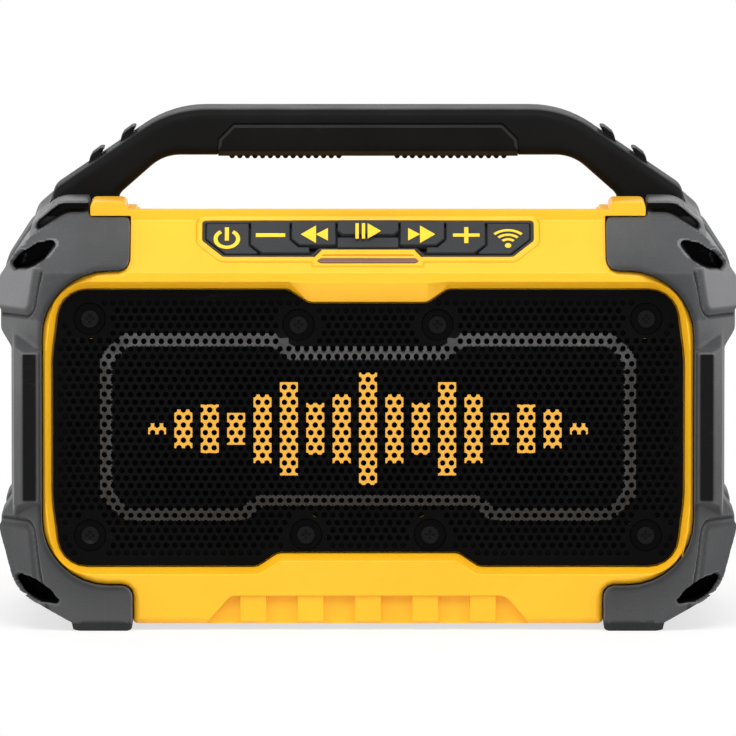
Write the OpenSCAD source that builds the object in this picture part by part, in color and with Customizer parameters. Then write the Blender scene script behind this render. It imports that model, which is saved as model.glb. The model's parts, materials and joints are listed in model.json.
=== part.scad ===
// Rugged carry-handle loudspeaker for a work site: a two-part yellow housing between two rubber bumpers,
// a perforated steel grille, a seven-key keypad, two drivers, and a slide-in battery bay at the back.
// Millimetres. X to the right, Y to the back, Z up; the origin is under the middle, on the floor.

/* [Overall] */
// Width over the two bumpers
overall_w = 268; // [260:1:290]
// Height from the floor to the top of the handle
overall_h = 187; // [182:1:205]
// Depth over the ribs of the bumpers
overall_d = 140; // [136:1:160]

/* [Housing] */
// Width of a bumper beside the bezel ring
bumper_side = 15.5; // [14:0.5:17]
// Height of the lower edge of the bezel ring
bezel_low = 16.6; // [15:0.1:19]
// Height of the upper edge of the bezel ring
bezel_high = 131.2; // [129:0.1:134]
// Outside corner radius of the bezel ring
bezel_r = 24; // [20:0.5:27]
// Rounding of the bezel ring's front edge
bezel_round = 2.6; // [1.5:0.1:3]
// How far the bezel stands behind the bumpers
bezel_setback = 2; // [1:0.1:4]
// Distance from the side of the bezel ring in to the side of the skirt
skirt_step = 33; // [31:0.5:36]
// Gap between the skirt and the floor
skirt_lift = 2.4; // [1:0.1:4]
// Distance from the side of the bezel ring in to the side of the control panel
panel_step = 32; // [30:0.25:33]
// Wall thickness of the housing
wall = 3; // [2.5:0.1:3.5]
// Height of the ledge behind the control panel
ledge_h = 152.3; // [151:0.1:154]
// Thickness of that ledge, front to back
ledge_t = 5; // [4:0.1:7]
// Height of the floor of the hand well under the handle
well_h = 141; // [139:0.1:143]
// Gap between the housing and the bumpers
bumper_fit = 0.3; // [0.2:0.05:0.5]

/* [Grille] */
// Width of the bezel ring beside the grille opening
bezel_side = 3.3; // [3:0.1:5]
// Height of the lower edge of the grille opening
opening_low = 22.8; // [22:0.1:25]
// Height of the upper edge of the grille opening
opening_high = 124.3; // [122:0.1:125]
// Depth of the grille opening behind the bezel's front
opening_depth = 8; // [7:0.1:9]
// How far the two middle tabs of the bezel reach into the opening
tab_reach = 5; // [4:0.1:6]
// Sheet thickness of the grille
sheet = 1.2; // [0.8:0.1:1.5]
// How far the middle of the grille is pressed forward
plateau_rise = 3.5; // [2:0.1:4]
// Width of the slope round the pressed middle
plateau_slope = 5.2; // [4:0.1:6]
// Distance between neighbouring holes of the grille
hole_pitch = 7.2; // [7:0.1:12]
// Diameter of the grille's holes
hole_d = 4.6; // [3.5:0.1:5]

/* [Controls] */
// Lean of the control panel from the vertical, in degrees
panel_tilt = 46; // [44:1:48]
// Length of the control panel along its slope
panel_l = 24.2; // [23.5:0.1:25]
// Width of the keypad
keypad_w = 120.4; // [118:0.1:124]
// Travel of a key
key_travel = 0.7; // [0.4:0.1:0.8]
// Gap between neighbouring keys
key_gap = 0.7; // [0.5:0.1:0.9]
// Thickness of the printed circuit boards
board_t = 1.6; // [1:0.1:2]

/* [Handle] */
// Depth of the handle, front to back
handle_d = 30; // [26:1:34]
// Height of the handle's bar
handle_bar = 17.2; // [15:0.1:18]
// Length of the rubber grip
grip_l = 110; // [90:1:120]
// Thickness of the rubber grip
grip_t = 2; // [1.5:0.1:2.5]
// Distance between neighbouring ribs under the grip
rib_pitch = 2.8; // [2.4:0.1:3.5]

/* [Drivers] */
// Diameter of the drivers' cut-outs in the baffle
driver_d = 66; // [60:1:70]
// Distance from the side of the grille opening in to a driver's centre
driver_side = 53.2; // [51:0.1:56]
// Travel of a cone each way
cone_travel = 2; // [1:0.1:2.5]

/* [Back] */
// Width of the battery bay as a share of the width of the bezel ring
bay_share = 0.354; // [0.345:0.001:0.365]
// Depth of the battery bay
bay_d = 24; // [22:0.5:26]
// Height of the floor of the battery bay
bay_low = 34; // [31:1:40]
// Width of the port recess
port_w = 46; // [44:0.5:50]
// Height of the port recess
port_h = 26; // [24:0.5:30]
// Depth of the port recess
port_d = 4.2; // [4:0.1:5]

/* [Hidden] */
$fn = 48;
over = 1;
least_r = 0.4;

yellow = "#f5b515";
rubber_grey = "#4a4a4c";
black = "#1c1c1c";
steel = "#9a9a9c";
board_green = "#2f5d3a";

// Driving levels, measured forwards from the middle plane
rib_proud = 2;
rear_setback = 6;
bumper_front = overall_d / 2 - rib_proud;
front = bumper_front - bezel_setback;
rear = -(bumper_front - rear_setback);
seal_half = 0.6;
half_w = overall_w / 2;
bezel_half = half_w - bumper_side;
skirt_half = bezel_half - skirt_step;
panel_half = bezel_half - panel_step;
opening_half = bezel_half - bezel_side;

// Corners become arcs: an outline is a list of [x, z, radius], counter-clockwise
function flat(p) = [p.x, p.y];
function unit(v) = v / norm(v);
function at(list, i) = list[(i + len(list)) % len(list)];
function inward(a, b) = let (d = flat(b) - flat(a)) [-d.y, d.x] / norm(d);
function turns_left(a, b, c) = sign(cross(flat(b) - flat(a), flat(c) - flat(b)));
function inset(outline, d) = [
    for (i = [0 : len(outline) - 1])
        let (
            a = at(outline, i - 1), b = outline[i], c = at(outline, i + 1),
            m = inward(a, b), n = inward(b, c),
            shift = (m + n) * d / (1 + m * n)
        )
        [b.x + shift.x, b.y + shift.y, max(b.z - turns_left(a, b, c) * d, least_r)]
];
function arc_steps(r) = r > 12 ? 8 : r > 4 ? 5 : 3;
function round_corner(a, b, c, steps) =
    let (
        u = unit(flat(a) - flat(b)), w = unit(flat(c) - flat(b)),
        half = acos(u * w) / 2,
        centre = flat(b) + unit(u + w) * b.z / sin(half),
        p = flat(b) + u * b.z / tan(half) - centre,
        q = flat(b) + w * b.z / tan(half) - centre,
        start = atan2(p.y, p.x),
        sweep = (atan2(q.y, q.x) - start + 540) % 360 - 180
    )
    [for (k = [0 : steps]) centre + b.z * [cos(start + sweep * k / steps), sin(start + sweep * k / steps)]];
function smooth(outline, like) = [
    for (i = [0 : len(outline) - 1])
        each round_corner(at(outline, i - 1), outline[i], at(outline, i + 1), arc_steps(like[i].z))
];
function curve(outline) = smooth(outline, outline);
function both_sides(right) = concat(
    right, [for (i = [len(right) - 1 : -1 : 0]) [-right[i].x, right[i].y, right[i].z]]
);

// Turns a front view upright, so that extruding runs forwards, to -Y
module upright() {
    rotate([90, 0, 0]) children();
}
// A front-view outline between two levels
module slab(points, from, to) {
    upright() translate([0, 0, from]) linear_extrude(to - from) polygon(points);
}
// A side-view outline of [y, z] points across the width
module side_slab(points, from, to) {
    rotate([90, 0, 90]) translate([0, 0, from]) linear_extrude(to - from) polygon(points);
}
// Cuts a flat outline into triangles, ear by ear: an ear is a corner with no other point inside it
least_area = 1e-6;
function left_of(a, b, p) = cross(b - a, p - a);
function is_ear(points, ring, i) =
    let (a = points[at(ring, i - 1)], b = points[ring[i]], c = points[at(ring, i + 1)])
    left_of(a, b, c) > least_area && len([
        for (k = ring)
            let (p = points[k])
            if (p != a && p != b && p != c
                && min(left_of(a, b, p), left_of(b, c, p), left_of(c, a, p)) >= 0) k
    ]) == 0;
function next_ear(points, ring, i) =
    i == len(ring) - 1 || is_ear(points, ring, i) ? i : next_ear(points, ring, i + 1);
function ears(points, ring) =
    len(ring) == 3 ? [ring]
    : let (e = next_ear(points, ring, 0))
        concat(
            [[at(ring, e - 1), ring[e], at(ring, e + 1)]],
            ears(points, [for (k = [0 : len(ring) - 1]) if (k != e) ring[k]])
        );
// Joins sections of [points, level] into one solid
module loft(sections) {
    n = len(sections[0][0]);
    ring = [for (i = [0 : n - 1]) i];
    top = len(sections) - 1;
    polyhedron(
        points = [for (s = sections) for (p = s[0]) [p.x, p.y, s[1]]],
        faces = concat(
            ears(sections[0][0], ring),
            [for (f = ears(sections[top][0], ring)) [for (i = [2 : -1 : 0]) top * n + f[i]]],
            [for (j = [0 : top - 1]) for (i = ring) for (half = [0, 1])
                let (a = j * n + i, b = j * n + (i + 1) % n)
                half == 0 ? [a, a + n, b + n] : [a, b + n, b]]
        )
    );
}
// A front-view outline between two levels, with its front and back edges rounded
module pillow(outline, from, to, r_from, r_to, steps = 3) {
    function ring(d, level) = [smooth(inset(outline, d), outline), level];
    function rounded(r, level, turn, k) =
        ring(r * (1 - cos(90 * k / steps)), level + turn * r * (1 - sin(90 * k / steps)));
    back_edge = r_from == 0 ? [ring(0, from)] : [for (k = [steps : -1 : 0]) rounded(r_from, from, 1, k)];
    front_edge = r_to == 0 ? [ring(0, to)] : [for (k = [0 : steps]) rounded(r_to, to, -1, k)];
    upright() loft(concat(back_edge, front_edge));
}
module on_both_sides() {
    children();
    mirror([1, 0, 0]) children();
}
// A round bar along the depth between two levels
module depth_bar(x, z, d, from, to) {
    upright() translate([x, z, from]) cylinder(d = d, h = to - from);
}

// Outline of the housing, seen from the front
inner_r = 4;
edge_r = 1.5;
housing_outline = both_sides([
    [skirt_half, skirt_lift, edge_r], [skirt_half, bezel_low, inner_r],
    [bezel_half, bezel_low, bezel_r], [bezel_half, bezel_high, bezel_r],
    [panel_half, bezel_high, inner_r], [panel_half, ledge_h, edge_r]
]);
// Outline of the grille opening, with a tab of the bezel in the middle of its two long sides
opening_r = 11;
bow = 3.2;
bow_z = 25;
bow_r = 60;
tab_r = 5;
top_tab_half = 29;
low_tab_half = 40.4;
tab_lean = 7.5;
function opening(high, reach) = both_sides([
    [low_tab_half - tab_lean, opening_low + tab_reach, tab_r], [low_tab_half, opening_low, tab_r],
    [opening_half - bow, opening_low, opening_r], [opening_half, opening_low + bow_z, bow_r],
    [opening_half, high - bow_z, bow_r], [opening_half - bow, high, opening_r],
    [top_tab_half, high, tab_r], [top_tab_half - tab_lean, high - reach, tab_r]
]);
opening_outline = opening(opening_high, tab_reach);
// The same outline at the bezel's front, where the upper tab runs out into the ring
tab_end = 0.6;
ring_lift = 0.8;
ring_outline = opening(opening_high + ring_lift, tab_end);

// The control panel's own frame: u along X, v up its slope, w out of it
panel_set = 1;
panel_raise = 0.5;
panel_y = panel_set - front;
panel_z = bezel_high + panel_raise;
function panel_point(v, w) = [
    panel_y + v * sin(panel_tilt) - w * cos(panel_tilt),
    panel_z + v * cos(panel_tilt) + w * sin(panel_tilt)
];
module on_panel(w = 0) {
    translate([0, panel_y, panel_z]) rotate([90 - panel_tilt, 0, 0]) translate([0, 0, w]) children();
}
ledge_y = panel_point(panel_l, 0).x;
// All that stands in front of and above a plane parallel to the panel
module above_panel(w, reach) {
    low = panel_point(-2 * panel_l, w);
    high = panel_point(reach, w);
    back = max(high.x, ledge_y);
    sky = high.y + overall_h;
    side_slab([low, high, [back, high.y], [back, sky], [low.x, sky]], -overall_w, overall_w);
}

// Baffle and grille levels
baffle_t = wall;
baffle_front = front - opening_depth;
baffle_back = baffle_front - baffle_t;
screen_t = 0.4;
screen_gap = 0.6;
grille_back = baffle_front + screen_t + screen_gap;
grille_front = grille_back + sheet;
grille_fit = 0.4;
grille_outline = inset(opening_outline, grille_fit);

// The pressed middle of the grille
plateau_side_in = 17;
plateau_low_in = 16.7;
plateau_high_in = 15.5;
plateau_half = opening_half - plateau_side_in;
plateau_low = opening_low + plateau_low_in;
plateau_high = opening_high - plateau_high_in;
plateau_cut = 9;
plateau_r = 7.5;
plateau_tab = 2;
plateau_lean = 6;
plateau_mid = 20;
plateau_neck = 28;
plateau_fall = tab_reach / plateau_lean;
top_shoulder = top_tab_half + plateau_lean - plateau_tab;
low_shoulder = low_tab_half + plateau_lean - plateau_tab;
plateau_band = both_sides([
    [plateau_half - plateau_neck, plateau_low + tab_reach, plateau_r],
    [plateau_half - plateau_neck, plateau_high - tab_reach, plateau_r]
]);
plateau_side = [
    [low_shoulder, plateau_low, plateau_r],
    [plateau_half - plateau_cut, plateau_low, plateau_r],
    [plateau_half, plateau_low + plateau_cut, plateau_r],
    [plateau_half, plateau_high - plateau_cut, plateau_r],
    [plateau_half - plateau_cut, plateau_high, plateau_r],
    [top_shoulder, plateau_high, plateau_r],
    [plateau_mid, plateau_high - (top_shoulder - plateau_mid) * plateau_fall, plateau_r],
    [plateau_mid, plateau_low + (low_shoulder - plateau_mid) * plateau_fall, plateau_r]
];
// The pressed middle between two levels, drawn in by `shrink`
module plateau(shrink, from, to) {
    module step(outline) {
        upright() loft([
            [smooth(inset(outline, shrink), outline), from],
            [smooth(inset(outline, shrink + plateau_slope), outline), to]
        ]);
    }
    step(plateau_band);
    on_both_sides() step(plateau_side);
}
// Screws of the grille: [x, z]
screw_side_in = 13.9;
screw_top_in = 10.9;
screw_low_in = 11.4;
middle_top_x = 25.3;
middle_top_in = 13.1;
middle_low_x = 22.6;
middle_low_in = 11.6;
right_screws = [
    [opening_half - screw_side_in, opening_high - screw_top_in],
    [opening_half - screw_side_in, opening_low + screw_low_in],
    [middle_top_x, opening_high - middle_top_in], [middle_low_x, opening_low + middle_low_in]
];
grille_screw_points = [for (side = [-1, 1]) for (p = right_screws) [side * p.x, p.y]];
dimple_d = 11.6;
grille_screw_d = 4;
grille_screw_head = 6.4;
screw_fit = 0.1;

// Keypad, in the panel's frame
keypad_half = keypad_w / 2;
keypad_gap = 1;
keypad_top = panel_l - keypad_gap;
keypad_low = 5.8;
keypad_notch = 9.2;
notch_half = 17.4;
notch_lean = 2.6;
notch_r = 1;
keypad_cut = 7.5;
keypad_rise = 7.8;
keypad_r = 2;
keypad_top_r = 1.2;
keypad_outline = both_sides([
    [notch_half, keypad_notch, notch_r], [notch_half + notch_lean, keypad_low, notch_r],
    [keypad_half - keypad_cut, keypad_low, keypad_r], [keypad_half, keypad_low + keypad_rise, keypad_r],
    [keypad_half, keypad_top, keypad_top_r]
]);
keypad_rim = 2.4;
keypad_rim_h = 0.9;
keypad_fit = 0.15;
frame_w = 1;
shelf = 3.2;
frame_floor = 1.2;
board_drop = 9;
pocket_inset = 1.7;
lens_w = 36.8;
lens_h = 2;
lens_v = 3.6;
lens_fit = 0.1;
lens_tip = 1.2;
lens_proud = 0.4;
lens_r = 0.2;
lens_rim = 2;
lens_rim_h = 1.4;
lens_outline = both_sides([
    [lens_w / 2 - lens_tip, lens_v - lens_h / 2, lens_r], [lens_w / 2, lens_v, lens_r],
    [lens_w / 2 - lens_tip, lens_v + lens_h / 2, lens_r]
]);

// Drivers
driver_z = (opening_low + opening_high) / 2;
driver_x = opening_half - driver_side;
flange_w = 6;
flange_d = driver_d + 2 * flange_w;
gasket_t = 1;
flange_t = 2;
flange_front = baffle_back - gasket_t;
basket_depth = 24;
plate_t = 2.5;
magnet_t = 12;
driver_screw_pcd = driver_d + flange_w;
driver_screw_d = 3;
surround_w = 5.5;
cone_r = driver_d / 2 - surround_w;
coil_r = 10.2;
coil_wall = 0.5;

// Housing screws: [x, z]
boss_d = 11;
screw_d = 4;
screw_head_d = 7;
screw_head_t = 3;
boss_side_in = 12.5;
boss_low_in = 15.4;
boss_high_in = 15.2;
boss_skirt_in = 15.5;
boss_gap = 0.6;
right_bosses = [
    [bezel_half - boss_side_in, bezel_low + boss_low_in],
    [bezel_half - boss_side_in, bezel_high - boss_high_in],
    [skirt_half - boss_skirt_in, skirt_lift + wall + boss_d / 2 + boss_gap]
];
housing_screw_points = [for (side = [-1, 1]) for (p = right_bosses) [side * p.x, p.y]];
housing_screw_well = 40;
front_boss_l = 20;
pilot_l = 14;

// The cavity of the two housings
cavity_top = well_h - wall;
module cavity(from, to) {
    slope_from = panel_point(0, -board_drop - wall);
    slope = tan(90 - panel_tilt);
    corner_y = slope_from.x + (cavity_top - slope_from.y) / slope;
    intersection() {
        slab(curve(inset(housing_outline, wall)), from, to);
        side_slab([
            [-baffle_back - over, 0], [overall_d, 0], [overall_d, cavity_top], [corner_y, cavity_top],
            [-baffle_back - over, slope_from.y + (-baffle_back - over - slope_from.x) * slope]
        ], -overall_w, overall_w);
    }
}

// Handle tabs: the yellow lugs between the ledge and the bumpers
lug_reach = 14.8;
lug_drop = 2.3;
lug_rise = 2.9;
lug_step = 1.6;
lug_depth = 5;
lug_root = 2;
lug_r = 2;
lug_low_r = 0.5;
lug_half = panel_half + lug_reach;
lug_low = ledge_h - lug_drop;
lug_high = ledge_h + lug_rise;
lug_back = -handle_d / 2 - lug_depth;
// The scoop under the front of the skirt
scoop_in = 25.5;
scoop_lean = 10;
scoop_h = 10.3;
scoop_r = 4;
scoop_foot_r = 0.2;
scoop_half = skirt_half - scoop_in;
scoop_top = skirt_lift + scoop_h;
scoop_depth = 2.6;
scoop_ribs = 5;
scoop_rib_pitch = 20.9;
scoop_rib_w = 9.5;
scoop_rib_back = 0.8;

module scoop() {
    scoop_outline = both_sides([
        [scoop_half, skirt_lift - over, scoop_foot_r], [scoop_half - scoop_lean, scoop_top, scoop_r]
    ]);
    difference() {
        slab(curve(scoop_outline), front - scoop_depth, front + over);
        for (i = [0 : scoop_ribs - 1]) {
            middle = (i - (scoop_ribs - 1) / 2) * scoop_rib_pitch;
            translate([middle - scoop_rib_w / 2, scoop_rib_back - front, 0])
                cube([scoop_rib_w, scoop_depth, scoop_top + over]);
        }
    }
}
opening_flare = 2.4;
lip_flare = 0.5;
lip_level = 4.2;
sliver = 0.1;
module front_housing() {
    color(yellow) {
        difference() {
            union() {
                difference() {
                    pillow(housing_outline, seal_half, front, 0, bezel_round);
                    above_panel(0, panel_l);
                    translate([-overall_w, ledge_y + ledge_t, well_h])
                        cube([2 * overall_w, overall_d, overall_h]);
                }
                on_both_sides() lug();
                on_panel(-over) linear_extrude(over + keypad_rim_h)
                    polygon(curve(inset(keypad_outline, -keypad_rim)));
                on_panel(-over) translate([-lens_w / 2 - lens_rim, lens_v - lens_h / 2 - lens_rim_h, 0])
                    cube([lens_w + 2 * lens_rim, lens_h + 2 * lens_rim_h, over + keypad_rim_h]);
            }
            cavity(seal_half - over, baffle_back);
            upright() loft([
                [smooth(opening_outline, opening_outline), baffle_front],
                [smooth(inset(opening_outline, -lip_flare), opening_outline), front - lip_level],
                [smooth(inset(ring_outline, -opening_flare), opening_outline), front + sliver]
            ]);
            for (side = [-1, 1]) depth_bar(side * driver_x, driver_z, driver_d, 0, front);
            for (p = grille_screw_points)
                depth_bar(p.x, p.y, grille_screw_d + 2 * screw_fit, baffle_back - over, front);
            driver_screw_bores();
            keypad_pockets();
            scoop();
        }
        for (p = housing_screw_points) front_boss(p);
    }
}
module lug() {
    translate([panel_half - wall, ledge_y, well_h - over]) cube([wall, lug_back - ledge_y, ledge_h - well_h]);
    slab(curve([
        [panel_half - lug_root, lug_low, lug_low_r], [lug_half, lug_low, lug_low_r],
        [lug_half, lug_high, lug_r], [panel_half + lug_step, lug_high, lug_r],
        [panel_half + lug_step, ledge_h, lug_low_r], [panel_half - lug_root, ledge_h, lug_low_r]
    ]), -lug_back, -ledge_y);
}
boss_sink = 0.6;
module front_boss(p) {
    difference() {
        depth_bar(p.x, p.y, boss_d, seal_half, front_boss_l);
        depth_bar(p.x, p.y, screw_d + 2 * screw_fit, seal_half - over, seal_half + pilot_l);
    }
    // Rib that ties the boss to the wall below or above it
    start = boss_d / 2 - boss_sink;
    intersection() {
        translate([p.x - wall / 2, -front_boss_l, p.y > driver_z ? p.y + start : p.y - start - overall_h])
            cube([wall, front_boss_l - seal_half, overall_h]);
        slab(curve(inset(housing_outline, wall / 2)), seal_half, front_boss_l);
    }
}
module keypad_pockets() {
    on_panel(-shelf) linear_extrude(shelf + 2 * over) polygon(curve(inset(keypad_outline, -keypad_fit)));
    on_panel(-board_drop) linear_extrude(board_drop) polygon(curve(inset(keypad_outline, pocket_inset)));
    on_panel(-shelf) linear_extrude(shelf + 2 * over) polygon(curve(inset(lens_outline, -lens_fit)));
}

// Driver screws, seen from the front: [x, z]
driver_screw_points = [
    for (side = [-1, 1]) for (a = [45 : 90 : 315])
        [side * driver_x + driver_screw_pcd / 2 * cos(a), driver_z + driver_screw_pcd / 2 * sin(a)]
];
bore_skin = 0.4;
module driver_screw_bores() {
    for (p = driver_screw_points)
        depth_bar(p.x, p.y, driver_screw_d + 2 * screw_fit, baffle_back - over, baffle_front - bore_skin);
}

// Back of the housing
bay_half = bezel_half * bay_share;
bay_w = 2 * bay_half;
bay_back = -rear - bay_d;
rail_w = 6;
rail_t = 3;
rail_back = 10;
rail_up = 8;
rail_y = -rear - rail_back;
rail_low = bay_low + rail_up;
port_side = 64.5;
port_up = 24;
port_x = bezel_half - port_side;
port_z = driver_z + port_up;
port_floor = -rear - port_d;
pin_in = 3;
pin_rise = 2.2;
pin_end = 2.4;
port_pin_x = port_x + pin_in;
port_pin_y = port_floor + pin_rise;
port_pin_d = 1.8;
port_fit = 0.3;
aux_at = 14;
usb_at = 25.5;
jack_at = 38;
aux_x = port_x + aux_at;
usb_x = port_x + usb_at;
jack_x = port_x + jack_at;
jack_l = 13;
jack_nose = 0.8;
aux_d = 6;
aux_bore_d = 3.6;
power_d = 8;
power_bore_d = 5.6;
usb_w = 13.4;
usb_h = 6;
wall_fit = 0.1;
port_board_y = port_floor - wall - jack_l;
port_post_d = 6;
post_room = 0.5;
port_post_gap = port_post_d / 2 + post_room;
socket_wall = 1.5;
port_post_x = [
    aux_x - aux_d / 2 - socket_wall - port_post_gap, jack_x + power_d / 2 + socket_wall + port_post_gap
];
// Main board on four posts in front of the bay
main_w = 80;
main_h = 66;
main_low = 50;
post_l = 5;
post_d = 7;
post_in = 5;
board_screw_d = 2.5;
board_screw_head = 5;
main_back = bay_back - wall - post_l;
main_front = main_back - board_t;
main_posts = [
    for (side = [-1, 1]) for (z = [main_low + post_in, main_low + main_h - post_in])
        [side * (main_w / 2 - post_in), z]
];
// Bumper and handle screws
bumper_screw_y = 14;
bumper_screw_low = 39;
bumper_screw_high = 40;
bumper_screw_z = [bezel_low + bumper_screw_low, bezel_high - bumper_screw_high];
side_boss_l = 12;
side_boss_in = bezel_half - wall - side_boss_l;
handle_pocket_z = bezel_high + bumper_fit + wall;
handle_screw_y = 8;
handle_screw_up = 8.5;
handle_screw_z = handle_pocket_z + handle_screw_up;
side_head_d = 8;
side_head_t = 2.6;

// A round bar along the width
module width_bar(y, z, d, from, to) {
    translate([from, y, z]) rotate([0, 90, 0]) cylinder(d = d, h = to - from);
}

head_fit = 0.5;
board_pilot_d = board_screw_d + 2 * screw_fit;
pilot_floor = 1;
port_pilot_l = 8;
module rear_housing() {
    color(yellow) difference() {
        union() {
            difference() {
                pillow(housing_outline, rear, -seal_half, bezel_round, 0);
                translate([-overall_w, -overall_d, well_h]) cube([2 * overall_w, 2 * overall_d, overall_h]);
                cavity(rear + wall, -seal_half + over);
            }
            translate([-bay_half - wall, bay_back - wall, bay_low - wall])
                cube([bay_w + 2 * wall, bay_d + wall - bezel_round, well_h - bay_low + wall]);
            translate([port_x - wall, port_floor - wall, port_z - port_h / 2 - wall])
                cube([port_w + 2 * wall, port_d + wall - over, port_h + 2 * wall]);
            for (p = housing_screw_points) depth_bar(p.x, p.y, boss_d, rear + over, -seal_half);
            for (p = main_posts) depth_bar(p.x, p.y, post_d, -bay_back + wall - over, -main_back);
            for (x = port_post_x) depth_bar(x, port_z, port_post_d, -port_floor + wall - over, -port_board_y);
            for (z = bumper_screw_z) on_both_sides()
                width_bar(bumper_screw_y, z, boss_d, side_boss_in, bezel_half - over);
        }
        difference() {
            translate([-bay_half, bay_back, bay_low]) cube([bay_w, bay_d + over, overall_h]);
            on_both_sides() translate([bay_half - rail_w, rail_y, rail_low])
                cube([rail_w + over, rail_t, well_h - rail_low]);
        }
        port_recess();
        for (p = housing_screw_points) {
            depth_bar(p.x, p.y, screw_head_d + 2 * head_fit, rear - over, rear + housing_screw_well);
            depth_bar(p.x, p.y, screw_d + 2 * screw_fit, rear, 0);
        }
        for (p = main_posts)
            depth_bar(p.x, p.y, board_pilot_d, pilot_floor - bay_back, -main_back + over);
        for (x = port_post_x)
            depth_bar(x, port_z, board_pilot_d, -port_board_y - port_pilot_l, -port_board_y + over);
        for (z = bumper_screw_z) on_both_sides()
            width_bar(bumper_screw_y, z, screw_d + 2 * screw_fit, side_boss_in - over, bezel_half + over);
    }
}
module port_recess() {
    translate([port_x, port_floor, port_z - port_h / 2]) cube([port_w, port_d + over, port_h]);
    translate([port_pin_x, port_pin_y, port_z - port_h / 2 - pin_end])
        cylinder(d = port_pin_d + 2 * screw_fit, h = port_h + 2 * pin_end);
    depth_bar(aux_x, port_z, aux_d + 2 * wall_fit, rear - over, -port_floor + wall + over);
    depth_bar(jack_x, port_z, power_d + 2 * wall_fit, rear - over, -port_floor + wall + over);
    translate([usb_x - usb_w / 2 - wall_fit, port_floor - wall - over, port_z - usb_h / 2 - wall_fit])
        cube([usb_w + 2 * wall_fit, wall + 2 * over, usb_h + 2 * wall_fit]);
}
// Cushion strip in the joint between the two housing halves
seam_outline = both_sides([
    [skirt_half, skirt_lift, edge_r], [skirt_half, bezel_low, inner_r],
    [bezel_half, bezel_low, bezel_r], [bezel_half, bezel_high, bezel_r],
    [panel_half, bezel_high, inner_r], [panel_half, well_h, edge_r]
]);
seal_edge = 0.5;
seal_in = 0.4;
module housing_seal() {
    color(black) difference() {
        slab(curve(inset(seam_outline, seal_edge)), -seal_half, seal_half);
        slab(curve(inset(seam_outline, wall - seal_in)), -seal_half - over, seal_half + over);
    }
}

// Outlines of the right bumper, seen from the front
// A corner is [distance in from the side, height, radius]
lug_gap = 0.4;
lip_rise = 0.4;
block_top = lug_low - lug_gap;
lip_top = lug_high + lip_rise;
lip_x = lug_half + lug_gap;
lip_r = 1;
waist_in = 4.2;
waist_half = half_w - waist_in;
waist_low_up = 30.7;
waist_high_in = 29;
waist_low = bezel_low + waist_low_up;
waist_high = bezel_high - waist_high_in;
waist_r = 3;
lobe = 6.4;
spine_front = -ledge_y;
chamfer_x = 15;
chamfer_d = 21;
block_back = 18;
bumper_proud = 1.4;
bumper_reach = 3.2;
foot_in = 27;
foot_r = 6;
toe = [6, 15, 14];
lobe_low = [0, 36, 8];
brow_fall = 3.2;
brow_r = 9;
shoulder = [9.5, block_top - 7.3, 8];
crown_rise = 1.6;
crown = [24, block_top + crown_rise, 8];
spine_in = 3.8;
spine_half = half_w - spine_in;
spine_toe = [6, 16, 12];
spine_low = [0, 36, 10];
spine_high = [0, bezel_high - 11.2, 20];
spine_shoulder = [10.4, block_top - 8.6, 3];
spine_brow = [11, block_top - 2.6, 7];
spine_crown = [21, lip_top, 10];
function from_side(half, corner) = [half - corner.x, corner.y, corner.z];
bumper_inner = [
    [panel_half + bumper_fit, bezel_high + bumper_fit, inner_r - bumper_fit],
    [bezel_half + bumper_fit, bezel_high + bumper_fit, bezel_r + bumper_fit],
    [bezel_half + bumper_fit, bezel_low - bumper_fit, bezel_r + bumper_fit],
    [skirt_half + bumper_fit, bezel_low - bumper_fit, inner_r - bumper_fit]
];
foot_corners = [[skirt_half + bumper_fit, 0, edge_r], [half_w - foot_in, 0, foot_r]];
block_outline = concat(
    foot_corners,
    [
        from_side(half_w, toe), from_side(half_w, lobe_low),
        [half_w, waist_low - lobe, waist_r], [waist_half, waist_low, waist_r],
        [waist_half, waist_high, waist_r], [half_w, waist_high + lobe, waist_r],
        [half_w, bezel_high - brow_fall, brow_r], from_side(half_w, shoulder), from_side(half_w, crown),
        [lip_x, block_top + crown_rise, lip_r / 2], [lip_x, block_top, lip_r / 2],
        [panel_half + bumper_fit, block_top, edge_r]
    ],
    bumper_inner
);
spine_outline = concat(
    foot_corners,
    [
        from_side(spine_half, spine_toe), from_side(spine_half, spine_low), from_side(spine_half, spine_high),
        from_side(half_w, spine_shoulder), from_side(half_w, spine_brow), from_side(half_w, spine_crown),
        [lip_x, lip_top, lip_r],
        [lip_x, block_top, lip_r], [panel_half + bumper_fit, block_top, edge_r]
    ],
    bumper_inner
);
// The recess under the lip, between its rim and the block
rim_t = 1;
rim_r = 0.5;
rim_d = 9;
rim_end = lip_x - rim_t;
rim_low = [13, block_top - 5, rim_r];
rim_brow = [13, block_top - 2.2, 4];
rim_crown = [21.6, lip_top - rim_t, 6];
rim_outline = [
    [rim_end, rim_low.y, rim_r], from_side(half_w, rim_low), from_side(half_w, rim_brow),
    from_side(half_w, rim_crown), [rim_end, rim_crown.y, rim_r]
];
module lip_recess() {
    slab(curve(rim_outline), spine_front - rim_d, spine_front + over);
}
module spine() {
    difference() {
        slab(curve(spine_outline), -spine_front, spine_front);
        lip_recess();
        mirror([0, 1, 0]) lip_recess();
    }
}
// The block's plan: its outer front corner is chamfered
plan_r = 4;
plan_end_r = 0.2;
block_plan = [
    [half_w + over, -block_back, plan_end_r],
    [half_w + over, chamfer_d - bumper_front + over, plan_end_r], [half_w, chamfer_d - bumper_front, plan_r],
    [half_w - chamfer_x, -bumper_front, plan_r],
    [skirt_half - over, -bumper_front, plan_end_r], [skirt_half - over, -block_back, plan_end_r]
];
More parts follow.
